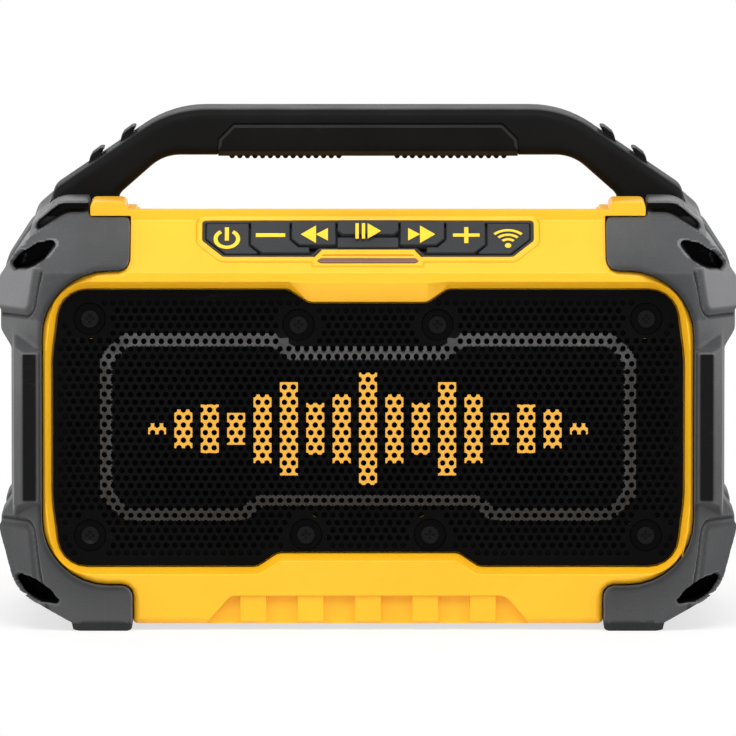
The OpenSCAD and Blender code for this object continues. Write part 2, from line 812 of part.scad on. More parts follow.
// The chamfer's own frame: s along it, z up, out of it
module on_chamfer(depth) {
    translate([half_w - chamfer_x, -bumper_front, 0]) rotate([0, 0, atan2(chamfer_d, chamfer_x)])
        rotate([90, 0, 0]) translate([0, 0, -depth]) children();
}
groove_w = 0.9;
groove_d = 1;
pad_s = 4.5;
pad_r = 4;
pad_end_r = 0.2;
pad_fall = 17.2;
pad_over = 12;
pad_rise = 4;
pad_lean = 10;
pad_upper = [bezel_high - pad_fall, lug_low];
pad_lower = [-pad_over, lobe_low.y + pad_rise];
module pad_groove(span, lean) {
    end = 2 * chamfer_d;
    border = [
        [pad_s - lean[0], span[0], pad_r], [end, span[0], pad_end_r],
        [end, span[1], pad_end_r], [pad_s - lean[1], span[1], pad_r]
    ];
    on_chamfer(groove_d) linear_extrude(chamfer_x) difference() {
        polygon(curve(border));
        polygon(curve(inset(border, groove_w)));
    }
}
slot_l = 17.6;
slot_w = 6.2;
slot_r = 6;
slot_tip = 2;
slot_tip_r = 0.9;
slot_mid = 3.5;
slot_depth = 26;
slot_top = [12.5, bezel_high + 5.4];
slot_top_turn = -30;
slot_low = [14, bezel_low - 2.2];
slot_low_turn = 33;
module corner_slot(place, angle) {
    slot = both_sides([
        [slot_mid, -slot_w / 2, slot_r], [slot_l / 2, -slot_tip / 2, slot_tip_r],
        [slot_l / 2, slot_tip / 2, slot_tip_r], [slot_mid, slot_w / 2, slot_r]
    ]);
    upright() translate([half_w - place.x, place.y, bumper_front - slot_depth]) rotate([0, 0, angle])
        linear_extrude(slot_depth + over) polygon(curve(slot));
}
// The upright rib on the waist
rib_low_in = 4.7;
rib_high_in = 4.2;
rib_low = waist_low - rib_low_in;
rib_high = waist_high + rib_high_in;
rib_gap = 0.2;
rib_in = bezel_half + bumper_fit + rib_gap;
rib_root = 14;
rib_edge = 1.4;
rib_flat = 7.2;
rib_fall = 4.4;
rib_side = 0.8;
rib_r = 1;
rib_small_r = 0.4;
rib_spread = 2;
rib_slope = 4.5;
module waist_rib() {
    out = -overall_d / 2;
    root = rib_root - bumper_front;
    intersection() {
        linear_extrude(overall_h) polygon(curve([
            [rib_in, root, rib_small_r], [rib_in, out + rib_edge, rib_small_r],
            [rib_in + rib_edge, out, rib_small_r], [rib_in + rib_flat, out, rib_r],
            [waist_half - rib_side, out + rib_fall, rib_r], [waist_half - rib_gap, root, rib_small_r]
        ]));
        side_slab([
            [root - sliver, rib_low - rib_spread], [out, rib_low + rib_slope],
            [out, rib_high - rib_slope], [root - sliver, rib_high + rib_spread]
        ], 0, overall_w);
    }
}
// One of the two end blocks of a bumper, at the front
module bumper_block() {
    difference() {
        union() {
            intersection() {
                slab(curve(block_outline), block_back, bumper_front);
                linear_extrude(overall_h) polygon(curve(block_plan));
            }
            waist_rib();
        }
        above_panel(bumper_proud, panel_l + bumper_reach);
        pad_groove(pad_upper, [0, pad_lean]);
        pad_groove(pad_lower, [pad_lean, 0]);
        corner_slot(slot_top, slot_top_turn);
        corner_slot(slot_low, slot_low_turn);
    }
}
handle_side_in = 17.6;
handle_leg = 24.8;
handle_out = half_w - handle_side_in;
handle_in = handle_out - handle_leg;
handle_fit = 0.2;
module right_bumper_shape() {
    difference() {
        union() {
            spine();
            bumper_block();
            mirror([0, 1, 0]) bumper_block();
        }
        translate([handle_in - handle_fit, -handle_d / 2 - handle_fit, handle_pocket_z])
            cube([handle_out - handle_in + 2 * handle_fit, handle_d + 2 * handle_fit, overall_h]);
        for (z = bumper_screw_z) {
            width_bar(bumper_screw_y, z, screw_d + 2 * screw_fit, 0, overall_w);
            width_bar(bumper_screw_y, z, side_head_d + 2 * head_fit, bumper_seat, overall_w);
        }
        for (y = [-handle_screw_y, handle_screw_y]) {
            width_bar(y, handle_screw_z, screw_d + 2 * screw_fit, handle_out - over, overall_w);
            width_bar(y, handle_screw_z, side_head_d + 2 * head_fit, handle_seat, overall_w);
        }
    }
}
bumper_seat_in = 5;
handle_seat_out = 3;
bumper_seat = spine_half - bumper_seat_in;
handle_seat = handle_out + handle_seat_out;
module right_bumper() {
    color(rubber_grey) right_bumper_shape();
}
module left_bumper() {
    color(rubber_grey) mirror([1, 0, 0]) right_bumper_shape();
}

// Handle: an arch on two legs that stand in the bumpers
arch_low = overall_h - handle_bar;
handle_round = 4;
handle_foot_r = 5;
handle_taper = 0.5;
handle_drop = 29.8;
handle_run = 44.4;
shoulder_r = 6;
crown_r = 40;
arch_run = 16.6;
arch_drop = 14.6;
arch_leg_r = 5;
arch_r = 16;
crown_half = handle_out - handle_run;
arch_half = handle_in - arch_run;
handle_right = [
    [handle_out, handle_pocket_z, handle_foot_r],
    [handle_out - handle_taper, overall_h - handle_drop, shoulder_r], [crown_half, overall_h, crown_r]
];
arch_right = [
    [arch_half, arch_low, arch_r], [handle_in, arch_low - arch_drop, arch_leg_r],
    [handle_in, handle_pocket_z, handle_foot_r]
];
arch_both = both_sides(arch_right);
handle_outline = concat(
    both_sides(handle_right), [for (i = [3 : 5]) arch_both[i]], [for (i = [0 : 2]) arch_both[i]]
);
grip_half = grip_l / 2;
grip_h = 11.6;
grip_top = arch_low + grip_h;
grip_proud = 0.4;
grip_chamfer = 5.6;
grip_points = [
    [-grip_half, arch_low - over], [grip_half, arch_low - over],
    [grip_half, grip_top - grip_chamfer], [grip_half - grip_chamfer, grip_top],
    [grip_chamfer - grip_half, grip_top], [-grip_half, grip_top - grip_chamfer]
];
module grip_core() {
    translate([-overall_w, -handle_d / 2 + grip_t, arch_low + grip_t])
        cube([2 * overall_w, handle_d - 2 * grip_t, overall_h]);
}
cleat_d = 16;
cleat_root = 2;
cleat_lower = 13.7;
cleat_upper = 25.3;
// Its side view: in from its outer end and out of the slope
cleat_points = [
    [0, -cleat_root], [0, 0], [-1.4, 1.4], [-3.1, 2.3], [-7.1, 2.5],
    [-8, 1.9], [-8, 1.4], [-6.2, 0.9], [-6.2, -cleat_root]
];
// A hooked cleat on the handle's slope, at a distance in from its side
module cleat(side_in) {
    run = handle_run - handle_taper;
    fall = handle_drop * (handle_run - side_in) / run;
    upright() translate([handle_out - side_in, overall_h - fall, -cleat_d / 2])
        rotate([0, 0, -atan2(handle_drop, run)]) linear_extrude(cleat_d) polygon(cleat_points);
}
handle_pilot_in = 6;
handle_pilot = handle_in + handle_pilot_in;
module handle() {
    color(black) difference() {
        union() {
            pillow(handle_outline, -handle_d / 2, handle_d / 2, handle_round, handle_round);
            on_both_sides() {
                cleat(cleat_upper);
                cleat(cleat_lower);
            }
        }
        difference() {
            slab(grip_points, -handle_d, handle_d);
            grip_core();
        }
        for (y = [-handle_screw_y, handle_screw_y]) on_both_sides()
            width_bar(y, handle_screw_z, screw_d + 2 * screw_fit, handle_pilot, handle_out + over);
    }
}
grip_rib_r = 1;
grip_rib_from = 9.7;
grip_rib_in = 4.5;
grip_r = 4;
grip_end_r = 0.2;
grip_ribs = floor((grip_half - grip_rib_from - grip_rib_r) / rib_pitch);
module handle_grip() {
    grip_d = handle_d + 2 * grip_proud;
    rib_half = handle_d / 2 - grip_rib_in;
    color(black) difference() {
        union() {
            intersection() {
                slab(grip_points, -grip_d / 2, grip_d / 2);
                side_slab(curve([
                    [-grip_d / 2, arch_low - grip_proud, grip_r], [grip_d / 2, arch_low - grip_proud, grip_r],
                    [grip_d / 2, overall_h, grip_end_r], [-grip_d / 2, overall_h, grip_end_r]
                ]), -overall_w, overall_w);
            }
            for (i = [0 : grip_ribs - 1]) on_both_sides()
                depth_bar(
                    grip_rib_from + grip_rib_r + i * rib_pitch, arch_low - grip_proud, 2 * grip_rib_r,
                    -rib_half, rib_half
                );
        }
        grip_core();
    }
}

// Grille: a pressed sheet with a returned edge, a raised middle, screw dimples and holes
grille_frame = both_sides([
    [opening_half - bow, opening_low, opening_r], [opening_half, opening_low + bow_z, bow_r],
    [opening_half, opening_high - bow_z, bow_r], [opening_half - bow, opening_high, opening_r]
]);
hole_room = hole_d / 2 + sheet;
function edge_room(p, outline) = min([
    for (i = [0 : len(outline) - 1]) inward(outline[i], at(outline, i + 1)) * (p - flat(outline[i]))
]);
function plateau_room(p) = max(edge_room(p, plateau_band), edge_room([abs(p.x), p.y], plateau_side));
function by_a_tab(p) =
    (abs(p.x) < top_tab_half + hole_room && p.y > opening_high - tab_reach - hole_room)
    || (abs(p.x) < low_tab_half + hole_room && p.y < opening_low + tab_reach + hole_room);
function in_a_corner(p) =
    abs(p.x) > opening_half - bow - opening_r
    && abs(p.y - driver_z) > (opening_high - opening_low) / 2 - opening_r;
function on_border(p) =
    edge_room(p, grille_frame) > hole_room + grille_fit && plateau_room(p) < -hole_room
    && !by_a_tab(p) && !in_a_corner(p);
function clear_of_screws(p) =
    min([for (s = grille_screw_points) norm(p - s)]) > dimple_d / 2 + sheet + hole_d / 2;
hole_row = hole_pitch * sqrt(3) / 2;
hole_cols = ceil(opening_half / hole_pitch);
hole_rows = ceil((opening_high - opening_low) / 2 / hole_row);
grille_holes = [
    for (j = [-hole_rows : hole_rows]) for (i = [-hole_cols : hole_cols])
        let (p = [(i + (abs(j) % 2) / 2) * hole_pitch, driver_z + j * hole_row])
        if ((plateau_room(p) > plateau_slope + hole_room || on_border(p)) && clear_of_screws(p)) p
];
inner_share = 0.7;
module dimple_cups(from, to) {
    for (p = grille_screw_points) depth_bar(p.x, p.y, dimple_d + 2 * sheet, from, to);
}
module grille() {
    plateau_front = grille_front + plateau_rise;
    color(black) difference() {
        union() {
            slab(curve(grille_outline), baffle_front, grille_front);
            plateau(0, grille_front - sliver, plateau_front);
        }
        difference() {
            slab(curve(inset(grille_outline, sheet)), baffle_front - over, grille_back);
            dimple_cups(baffle_front - 2 * over, grille_front);
        }
        difference() {
            plateau(sheet * inner_share, grille_back - sliver, plateau_front - sheet);
            dimple_cups(baffle_front, plateau_front);
        }
        for (p = grille_screw_points) {
            depth_bar(p.x, p.y, dimple_d, baffle_front + sheet, front);
            depth_bar(p.x, p.y, grille_screw_d + 2 * screw_fit, baffle_front - over, front);
        }
        for (p = grille_holes) depth_bar(p.x, p.y, hole_d, grille_back - over, front);
    }
}
grille_screw_l = 9;
grille_head_t = 1.6;
// A screw along the depth, its head towards the front
module front_screw(p, d, head_d, seat, head_t, length) {
    depth_bar(p.x, p.y, head_d, seat, seat + head_t);
    depth_bar(p.x, p.y, d, seat - length, seat + 0.5 * head_t);
}
recess_l = 3.4;
recess_w = 0.9;
recess_d = 0.8;
module grille_screws() {
    seat = baffle_front + sheet;
    color(black) for (p = grille_screw_points) difference() {
        front_screw(p, grille_screw_d, grille_screw_head, seat, grille_head_t, grille_screw_l);
        for (turn = [0, 90]) upright() translate([p.x, p.y, seat + grille_head_t]) rotate([0, 0, turn])
            cube([recess_l, recess_w, 2 * recess_d], center = true);
    }
}
cup_gap = 0.5;
module dust_screen() {
    color(black) difference() {
        slab(curve(inset(grille_outline, sheet + over)), baffle_front, baffle_front + screen_t);
        for (p = grille_screw_points)
            depth_bar(p.x, p.y, dimple_d + 2 * (sheet + cup_gap), baffle_front - over, front);
    }
}

// Keypad: a tray that carries seven sliding keys, in the panel's frame
key_1 = 11.4;
key_2 = 28.1;
key_3 = 43;
key_bottom = -1;
stem_d = 4;
stem_fit = 0.2;
stem_end = -4.2;
switch_gap = 0.2;
keys_top = keypad_top - frame_w - key_gap / 2;
low_1 = keypad_low + frame_w + key_gap / 2;
low_2 = keypad_notch + frame_w + key_gap / 2;
play_up = 4.4;
play_cut = 1.8;
step_cut = 3;
foot_cut = 4.2;
power_rise = 7.2;
key_r = 0.5;
key_top_r = 0.6;
power_r = 1;
half_gap = key_gap / 2;
low_3 = low_2 + play_up;
play_points = both_sides([
    [key_1 - half_gap - play_cut, low_3, key_r], [key_1 - half_gap, low_3 + play_cut, key_r],
    [key_1 - half_gap, keys_top, key_top_r]
]);
previous_points = [
    [half_gap - key_2 + step_cut, low_2, key_r], [-key_1 - half_gap, low_2, key_r],
    [-key_1 - half_gap, keys_top, key_top_r], [half_gap - key_2, keys_top, key_top_r],
    [half_gap - key_2, low_2 + step_cut, key_r]
];
foot_end = -notch_half - notch_lean - frame_w - half_gap;
volume_points = [
    [half_gap - key_3 + foot_cut, low_1, key_r], [foot_end, low_1, key_r], [foot_end, low_2 - key_gap, key_r],
    [step_cut - key_2 - half_gap / 2, low_2 - key_gap, key_r],
    [-key_2 - half_gap, low_2 + step_cut - half_gap / 2, key_r], [-key_2 - half_gap, keys_top, key_top_r],
    [half_gap - key_3, keys_top, key_top_r], [half_gap - key_3, low_1 + foot_cut, key_r]
];
power_points = [
    [keypad_cut + frame_w - keypad_half, low_1, power_r], [foot_cut - key_3 - key_gap, low_1, key_r],
    [-key_3 - half_gap, low_1 + foot_cut - key_gap / 3, key_r], [-key_3 - half_gap, keys_top, key_top_r],
    [frame_w + half_gap - keypad_half, keys_top, key_top_r],
    [frame_w + half_gap - keypad_half, low_1 + power_rise, power_r]
];
play_stem = [0, (low_3 + keys_top) / 2];
previous_stem = [-(key_1 + key_2) / 2, (low_2 + keys_top) / 2];
volume_stem = [-(key_2 + key_3) / 2, (low_1 + keys_top) / 2];
power_stem_in = 0.6;
power_stem = [power_stem_in - (key_3 + keypad_half) / 2, (low_1 + keys_top) / 2];
function mirrored(p) = [-p.x, p.y];
stems = [
    play_stem, previous_stem, mirrored(previous_stem), volume_stem, mirrored(volume_stem),
    power_stem, mirrored(power_stem)
];
module key(points, stem, height) {
    color(rubber_grey) on_panel() {
        translate([0, 0, key_bottom]) linear_extrude(height - key_bottom) polygon(curve(points));
        translate([stem.x, stem.y, stem_end]) cylinder(d = stem_d, h = key_bottom - stem_end + over / 2);
    }
}
power_h = 1;
volume_h = 1.6;
previous_h = 2.2;
play_h = 3;
module power_key() {
    key(power_points, power_stem, power_h);
}
module volume_down_key() {
    key(volume_points, volume_stem, volume_h);
}
module previous_key() {
    key(previous_points, previous_stem, previous_h);
}
module play_key() {
    key(play_points, play_stem, play_h);
}
module next_key() {
    mirror([1, 0, 0]) previous_key();
}
module volume_up_key() {
    mirror([1, 0, 0]) volume_down_key();
}
module pairing_key() {
    mirror([1, 0, 0]) power_key();
}
frame_proud = 0.6;
strip_gap = 0.4;
guide_skin = 0.6;
module keypad_frame() {
    strip_half = key_1 - half_gap;
    strip_low = keypad_notch + strip_gap;
    color(rubber_grey) on_panel() difference() {
        union() {
            translate([0, 0, -shelf]) linear_extrude(shelf + frame_proud) difference() {
                polygon(curve(keypad_outline));
                polygon(curve(inset(keypad_outline, frame_w)));
            }
            translate([0, 0, -shelf]) linear_extrude(frame_floor)
                polygon(curve(inset(keypad_outline, frame_w / 2)));
            translate([-strip_half, strip_low, -shelf])
                cube([2 * strip_half, low_3 - key_gap - strip_low, shelf + previous_h - strip_gap]);
        }
        for (s = stems) translate([s.x, s.y, -shelf - over])
            cylinder(d = stem_d + 2 * stem_fit, h = shelf + over - key_travel - guide_skin);
    }
}
module status_lens() {
    color("#a06a50") on_panel(-shelf) linear_extrude(shelf + keypad_rim_h + lens_proud)
        polygon(curve(lens_outline));
}
board_fit = 0.2;
module control_board() {
    color(board_green) on_panel(-board_drop) linear_extrude(board_t)
        polygon(curve(inset(keypad_outline, pocket_inset + board_fit)));
}
switch_w = 6;
plunger_d = 3;
plunger_h = 0.8;
module key_switches() {
    plunger_top = stem_end - key_travel - switch_gap;
    board_top = board_t - board_drop;
    body_h = plunger_top - plunger_h - board_top;
    color(black) on_panel() for (s = stems) {
        translate([s.x - switch_w / 2, s.y - switch_w / 2, board_top]) cube([switch_w, switch_w, body_h]);
        translate([s.x, s.y, board_top + body_h / 2]) cylinder(d = plunger_d, h = plunger_h + body_h / 2);
    }
}

// Drivers, turned about their own axes
module on_driver(side) {
    translate([side * driver_x, 0, driver_z]) upright() children();
}
basket_in = 2;
basket_r = driver_d / 2 - basket_in;
basket_neck = 21;
basket_t = 1.6;
basket_floor = 2;
coil_room = 2;
window_w = 20;
window_in = 6;
window_gap = 4;
module driver_frame(side) {
    back = flange_front - basket_depth;
    under = flange_front - flange_t;
    color(black) difference() {
        on_driver(side) difference() {
            rotate_extrude() polygon([
                [basket_r, flange_front], [flange_d / 2, flange_front], [flange_d / 2, under],
                [basket_r + basket_t, under], [basket_neck + basket_t, back - basket_floor],
                [coil_r + coil_room, back - basket_floor], [coil_r + coil_room, back],
                [basket_neck, back], [basket_r, under]
            ]);
            for (a = [0 : 90 : 270]) rotate([0, 0, a])
                translate([basket_neck - window_in, -window_w / 2, back + window_gap])
                    cube([basket_r, window_w, basket_depth - flange_t - 2 * window_gap]);
        }
        for (p = driver_screw_points)
            depth_bar(p.x, p.y, driver_screw_d + 2 * screw_fit, back, flange_front + over);
    }
}
module left_driver_frame() {
    driver_frame(-1);
}
module right_driver_frame() {
    driver_frame(1);
}
module driver_gasket(side) {
    color(black) difference() {
        on_driver(side) rotate_extrude() translate([driver_d / 2, flange_front]) square([flange_w, gasket_t]);
        for (p = driver_screw_points)
            depth_bar(p.x, p.y, driver_screw_d + 2 * head_fit, flange_front - over, baffle_front);
    }
}
module left_driver_gasket() {
    driver_gasket(-1);
}
module right_driver_gasket() {
    driver_gasket(1);
}
magnet_top = flange_front - basket_depth - basket_floor;
magnet_r = 25;
plate_in = 2;
pole_in = 1;
gap_w = 0.9;
pole_r = coil_r - pole_in;
gap_r = coil_r + coil_wall + gap_w;
module magnet(side) {
    low = magnet_top - magnet_t - 2 * plate_t;
    plate_r = magnet_r - plate_in;
    lower = low + plate_t;
    upper = magnet_top - plate_t;
    color(steel) on_driver(side) rotate_extrude() polygon([
        [0, low], [plate_r, low], [plate_r, lower], [magnet_r, lower], [magnet_r, upper], [plate_r, upper],
        [plate_r, magnet_top], [gap_r, magnet_top], [gap_r, upper], [gap_r + plate_in, upper],
        [gap_r + plate_in, lower], [pole_r, lower], [pole_r, magnet_top], [0, magnet_top]
    ]);
}
module left_magnet() {
    magnet(-1);
}
module right_magnet() {
    magnet(1);
}
skin = 0.8;
roll_over = 0.4;
cone_lap = 1.6;
rim_gap = 0.3;
roll_r = (basket_r - cone_r) / 2 + roll_over;
module surround(side) {
    middle = (basket_r + cone_r) / 2;
    inner_r = roll_r - skin;
    outer_rim = driver_d / 2 - middle - inner_r - rim_gap;
    inner_rim = middle - inner_r - cone_r + cone_lap;
    function roll(r, a) = [middle + r * cos(a), flange_front + r * sin(a)];
    color(black) on_driver(side) rotate_extrude() {
        polygon(concat(
            [for (a = [0 : 15 : 180]) roll(roll_r, a)], [for (a = [180 : -15 : 0]) roll(inner_r, a)]
        ));
        translate([middle + inner_r, flange_front]) square([outer_rim, skin]);
        translate([cone_r - cone_lap, flange_front]) square([inner_rim, skin]);
    }
}
module left_surround() {
    surround(-1);
}
module right_surround() {
    surround(1);
}
cap_r = 17;
cap_rise = 4;
cap_steps = 6;
cap_t = 1.2;
cap_crown = 0.4;
coil_up = 8;
coil_in = 6;
cone_back = 0.6;
rim_w = 2;
module cone(side) {
    neck = flange_front - basket_depth + coil_up;
    coil_end = magnet_top - coil_in;
    slope = (flange_front - neck) / (cone_r - rim_w - coil_r);
    function wall_at(r) = neck + (r - coil_r) * slope;
    function dome(r, rise, k) = [r * k / cap_steps, wall_at(r) + rise * (1 - pow(k / cap_steps, 2))];
    color(black) on_driver(side) rotate_extrude() polygon(concat(
        [for (k = [0 : cap_steps]) dome(cap_r, cap_rise, k)],
        [
            [cone_r - rim_w, flange_front], [cone_r, flange_front], [cone_r, flange_front - skin],
            [cone_r - cone_lap, flange_front - skin], [coil_r + coil_wall, neck - cone_back],
            [coil_r + coil_wall, coil_end], [coil_r, coil_end], [coil_r, neck]
        ],
        [for (k = [cap_steps : -1 : 0]) dome(cap_r - cap_t, cap_rise + cap_crown, k)]
    ));
}
module left_cone() {
    cone(-1);
}
module right_cone() {
    cone(1);
}
driver_head_d = 5.4;
driver_head_t = 1.8;
module driver_screws() {
    seat = flange_front - flange_t;
    color(steel) for (p = driver_screw_points) {
        depth_bar(p.x, p.y, driver_head_d, seat - driver_head_t, seat);
        depth_bar(p.x, p.y, driver_screw_d, seat - 0.5 * driver_head_t, baffle_front - 1.5 * bore_skin);
    }
}

// Electronics behind the drivers
board_hole_fit = 0.3;
board_hole_d = board_screw_d + 2 * board_hole_fit;
module main_board() {
    color(board_green) difference() {
        translate([-main_w / 2, main_front, main_low]) cube([main_w, board_t, main_h]);
        for (p = main_posts) depth_bar(p.x, p.y, board_hole_d, -main_back - over, -main_front + over);
    }
}
sink_w = 48;
sink_h = 30;
sink_base = 3;
sink_fins = 9;
sink_d = 14;
sink_up = 8;
sink_z = main_low + sink_up;
fin_t = 1.6;
module heat_sink() {
    color(steel) {
        translate([-sink_w / 2, main_front - sink_base, sink_z]) cube([sink_w, sink_base, sink_h]);
        for (i = [0 : sink_fins - 1])
            translate([-sink_w / 2 + i * (sink_w - fin_t) / (sink_fins - 1), main_front - sink_d, sink_z])
                cube([fin_t, sink_d - sink_base / 2, sink_h]);
    }
}
capacitor_d = 12;
capacitor_l = 18;
capacitor_x = 14;
capacitor_up = 10;
module capacitors() {
    color(black) on_both_sides() depth_bar(
        capacitor_x, sink_z + sink_h + capacitor_up, capacitor_d, -main_front, -main_front + capacitor_l
    );
}
board_head_t = 1.6;
screw_past = 1;
module board_screws() {
    color(steel) {
        for (p = main_posts) front_screw(
            p, board_screw_d, board_screw_head, -main_front, board_head_t, board_t + post_l + screw_past
        );
        for (x = port_post_x) front_screw(
            [x, port_z], board_screw_d, board_screw_head, board_t - port_board_y, board_head_t,
            board_t + port_pilot_l - screw_past
        );
    }
}
block_w = 34;
block_h = 14;
block_d = 9;
module terminal_block() {
    color(black) translate([-block_w / 2, bay_back, bay_low]) cube([block_w, block_d, block_h]);
}
blade_t = 0.9;
blade_d = 6;
blade_h = 12;
blade_pitch = 8;
blade_set = 1.5;
module terminal_blades() {
    color(steel) for (i = [-1.5 : 1 : 1.5])
        translate([i * blade_pitch - blade_t / 2, bay_back + blade_set, bay_low + block_h])
            cube([blade_t, blade_d, blade_h]);
}
port_board_in = 2;
module port_board() {
    left = port_post_x[0] - port_post_gap;
    color(board_green) difference() {
        translate([left, port_board_y - board_t, port_z - port_h / 2 + port_board_in])
            cube([port_post_x[1] + port_post_gap - left, board_t, port_h - 2 * port_board_in]);
        for (x = port_post_x)
            depth_bar(x, port_z, board_hole_d, -port_board_y - over, -port_board_y + board_t + over);
    }
}
aux_bore_l = 14;
power_bore_l = 9;
contact_d = 2;
contact_in = 1;
usb_shell = 0.5;
usb_depth = 12;
tongue_in = 1.2;
tongue_up = 0.2;
tongue_t = 1.8;
// A socket body on the port board, behind the recess wall
module socket_body(x, size) {
    translate([x - size / 2, port_board_y, port_z - size / 2]) cube([size, jack_l, size]);
}
module aux_jack() {
    nose = port_floor + jack_nose;
    color(black) difference() {
        union() {
            socket_body(aux_x, aux_d + 2 * socket_wall);
            depth_bar(aux_x, port_z, aux_d, -nose, -port_board_y - jack_l + over);
        }
        depth_bar(aux_x, port_z, aux_bore_d, -nose - over, -nose + aux_bore_l);
    }
}
module power_jack() {
    nose = port_floor + jack_nose;
    color(black) {
        difference() {
            union() {
                socket_body(jack_x, power_d + 2 * socket_wall);
                depth_bar(jack_x, port_z, power_d, -nose, -port_board_y - jack_l + over);
            }
            depth_bar(jack_x, port_z, power_bore_d, -nose - over, -nose + power_bore_l);
        }
        depth_bar(jack_x, port_z, contact_d, -nose + contact_in, -nose + power_bore_l + over / 2);
    }
}
module usb_port() {
    nose = port_floor + jack_nose;
    left = usb_x - usb_w / 2;
    low = port_z - usb_h / 2;
    color(steel) {
        difference() {
            translate([left, port_board_y, low]) cube([usb_w, nose - port_board_y, usb_h]);
            translate([left + usb_shell, nose - usb_depth, low + usb_shell])
                cube([usb_w - 2 * usb_shell, usb_depth + over, usb_h - 2 * usb_shell]);
        }
        translate([left + tongue_in, nose - usb_depth - over / 2, port_z + tongue_up])
            cube([usb_w - 2 * tongue_in, usb_depth - over / 2, tongue_t]);
    }
}
cover_t = 2.2;
barrel_d = 3.6;
barrel_gap = 2.3;
web_drop = 0.6;
notch_d = 8;
module port_cover() {
    height = port_h - 2 * port_fit;
    low = port_z - height / 2;
    right = port_x + port_w - port_fit;
    inner = port_pin_x + barrel_gap;
    back = port_pin_y + barrel_d / 2 - cover_t;
    color(rubber_grey) difference() {
        union() {
            translate([inner, back, low]) cube([right - inner, cover_t, height]);
            translate([port_pin_x, back, low]) cube([barrel_gap + over / 2, cover_t - web_drop, height]);
            translate([port_pin_x, port_pin_y, low]) cylinder(d = barrel_d, h = height);
        }
        translate([port_pin_x, port_pin_y, low - over])
            cylinder(d = port_pin_d + 2 * screw_fit, h = height + 2 * over);
        // Finger notch at the free edge
        translate([right, -rear - over, port_z]) cylinder(d = notch_d, h = notch_d, center = true);
    }
}
pin_gap = 0.2;
module port_cover_pin() {
    reach = port_h / 2 + pin_end - pin_gap;
    color(steel) translate([port_pin_x, port_pin_y, port_z - reach]) cylinder(d = port_pin_d, h = 2 * reach);
}

// Screws of the case
socket_d = 3.4;
socket_l = 1.6;
side_socket_d = 4;
neck_l = 1;
module housing_screws() {
    seat = rear + housing_screw_well;
    color(steel) for (p = housing_screw_points) difference() {
        union() {
            depth_bar(p.x, p.y, screw_head_d, seat - screw_head_t, seat);
            depth_bar(p.x, p.y, screw_d, seat - neck_l, pilot_l - neck_l);
        }
        upright() translate([p.x, p.y, seat - screw_head_t - over])
            cylinder(d = socket_d, h = socket_l + over, $fn = 6);
    }
}
// A screw along the width, its head outwards
module side_screw(y, z, seat, tip) {
    difference() {
        union() {
            width_bar(y, z, side_head_d, seat, seat + side_head_t);
            width_bar(y, z, screw_d, tip, seat + neck_l);
        }
        translate([seat + neck_l, y, z]) rotate([0, 90, 0])
            cylinder(d = side_socket_d, h = side_head_t, $fn = 6);
    }
}
module bumper_screws() {
    color(steel) on_both_sides() for (z = bumper_screw_z)
        side_screw(bumper_screw_y, z, bumper_seat, side_boss_in + neck_l);
}
module handle_screws() {
    color(steel) on_both_sides() for (y = [-handle_screw_y, handle_screw_y])
        side_screw(y, handle_screw_z, handle_seat, handle_pilot + neck_l);
}

front_housing();
rear_housing();
housing_seal();
left_bumper();
right_bumper();
handle();
handle_grip();
grille();
grille_screws();
dust_screen();
keypad_frame();
power_key();
volume_down_key();
previous_key();
play_key();
next_key();
volume_up_key();
pairing_key();
status_lens();
control_board();
key_switches();
left_driver_frame();
right_driver_frame();
left_driver_gasket();
right_driver_gasket();
left_magnet();
right_magnet();
left_surround();
right_surround();
left_cone();
right_cone();
driver_screws();
main_board();
heat_sink();
capacitors();
board_screws();
terminal_block();
terminal_blades();
port_board();
aux_jack();
usb_port();
power_jack();
port_cover();
port_cover_pin();
housing_screws();
bumper_screws();
handle_screws();
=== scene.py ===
"""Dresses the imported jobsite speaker: moulded finishes, a perforated grille, printed keys and a studio.

Every length is in metres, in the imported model's own frame: X runs to the right, -Y to the front, Z up.
"""

from __future__ import annotations

import json
import logging
import math
from abc import ABC, abstractmethod
from dataclasses import dataclass, field
from enum import Enum
from functools import cached_property
from typing import Callable, Iterable

import bmesh
import bpy
from bmesh.types import BMesh, BMEdge, BMFace, BMVert
from bpy.types import Material, Node, NodeSocket, NodeTree, Object
from mathutils import Matrix, Vector

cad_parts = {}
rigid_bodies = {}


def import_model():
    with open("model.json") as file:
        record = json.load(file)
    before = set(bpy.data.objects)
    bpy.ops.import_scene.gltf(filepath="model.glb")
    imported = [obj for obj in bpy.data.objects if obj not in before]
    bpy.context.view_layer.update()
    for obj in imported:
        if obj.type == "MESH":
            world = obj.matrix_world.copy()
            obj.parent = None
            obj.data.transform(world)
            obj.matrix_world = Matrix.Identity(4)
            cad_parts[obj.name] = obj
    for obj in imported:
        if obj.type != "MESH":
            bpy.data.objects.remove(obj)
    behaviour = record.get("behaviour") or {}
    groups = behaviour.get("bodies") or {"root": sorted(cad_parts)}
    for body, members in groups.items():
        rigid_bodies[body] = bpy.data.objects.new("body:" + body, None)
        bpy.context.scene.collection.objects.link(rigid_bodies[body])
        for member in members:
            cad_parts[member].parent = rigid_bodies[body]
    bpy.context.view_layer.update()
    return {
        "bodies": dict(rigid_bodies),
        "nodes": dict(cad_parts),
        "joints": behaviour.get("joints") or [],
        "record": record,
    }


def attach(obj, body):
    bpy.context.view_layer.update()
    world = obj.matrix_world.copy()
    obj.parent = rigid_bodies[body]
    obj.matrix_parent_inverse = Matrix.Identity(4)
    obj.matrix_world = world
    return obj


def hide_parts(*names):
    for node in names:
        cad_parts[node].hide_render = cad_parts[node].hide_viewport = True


LOG = logging.getLogger("speaker")
MM = 0.001
BODY = "body"
Colour = tuple[float, float, float]


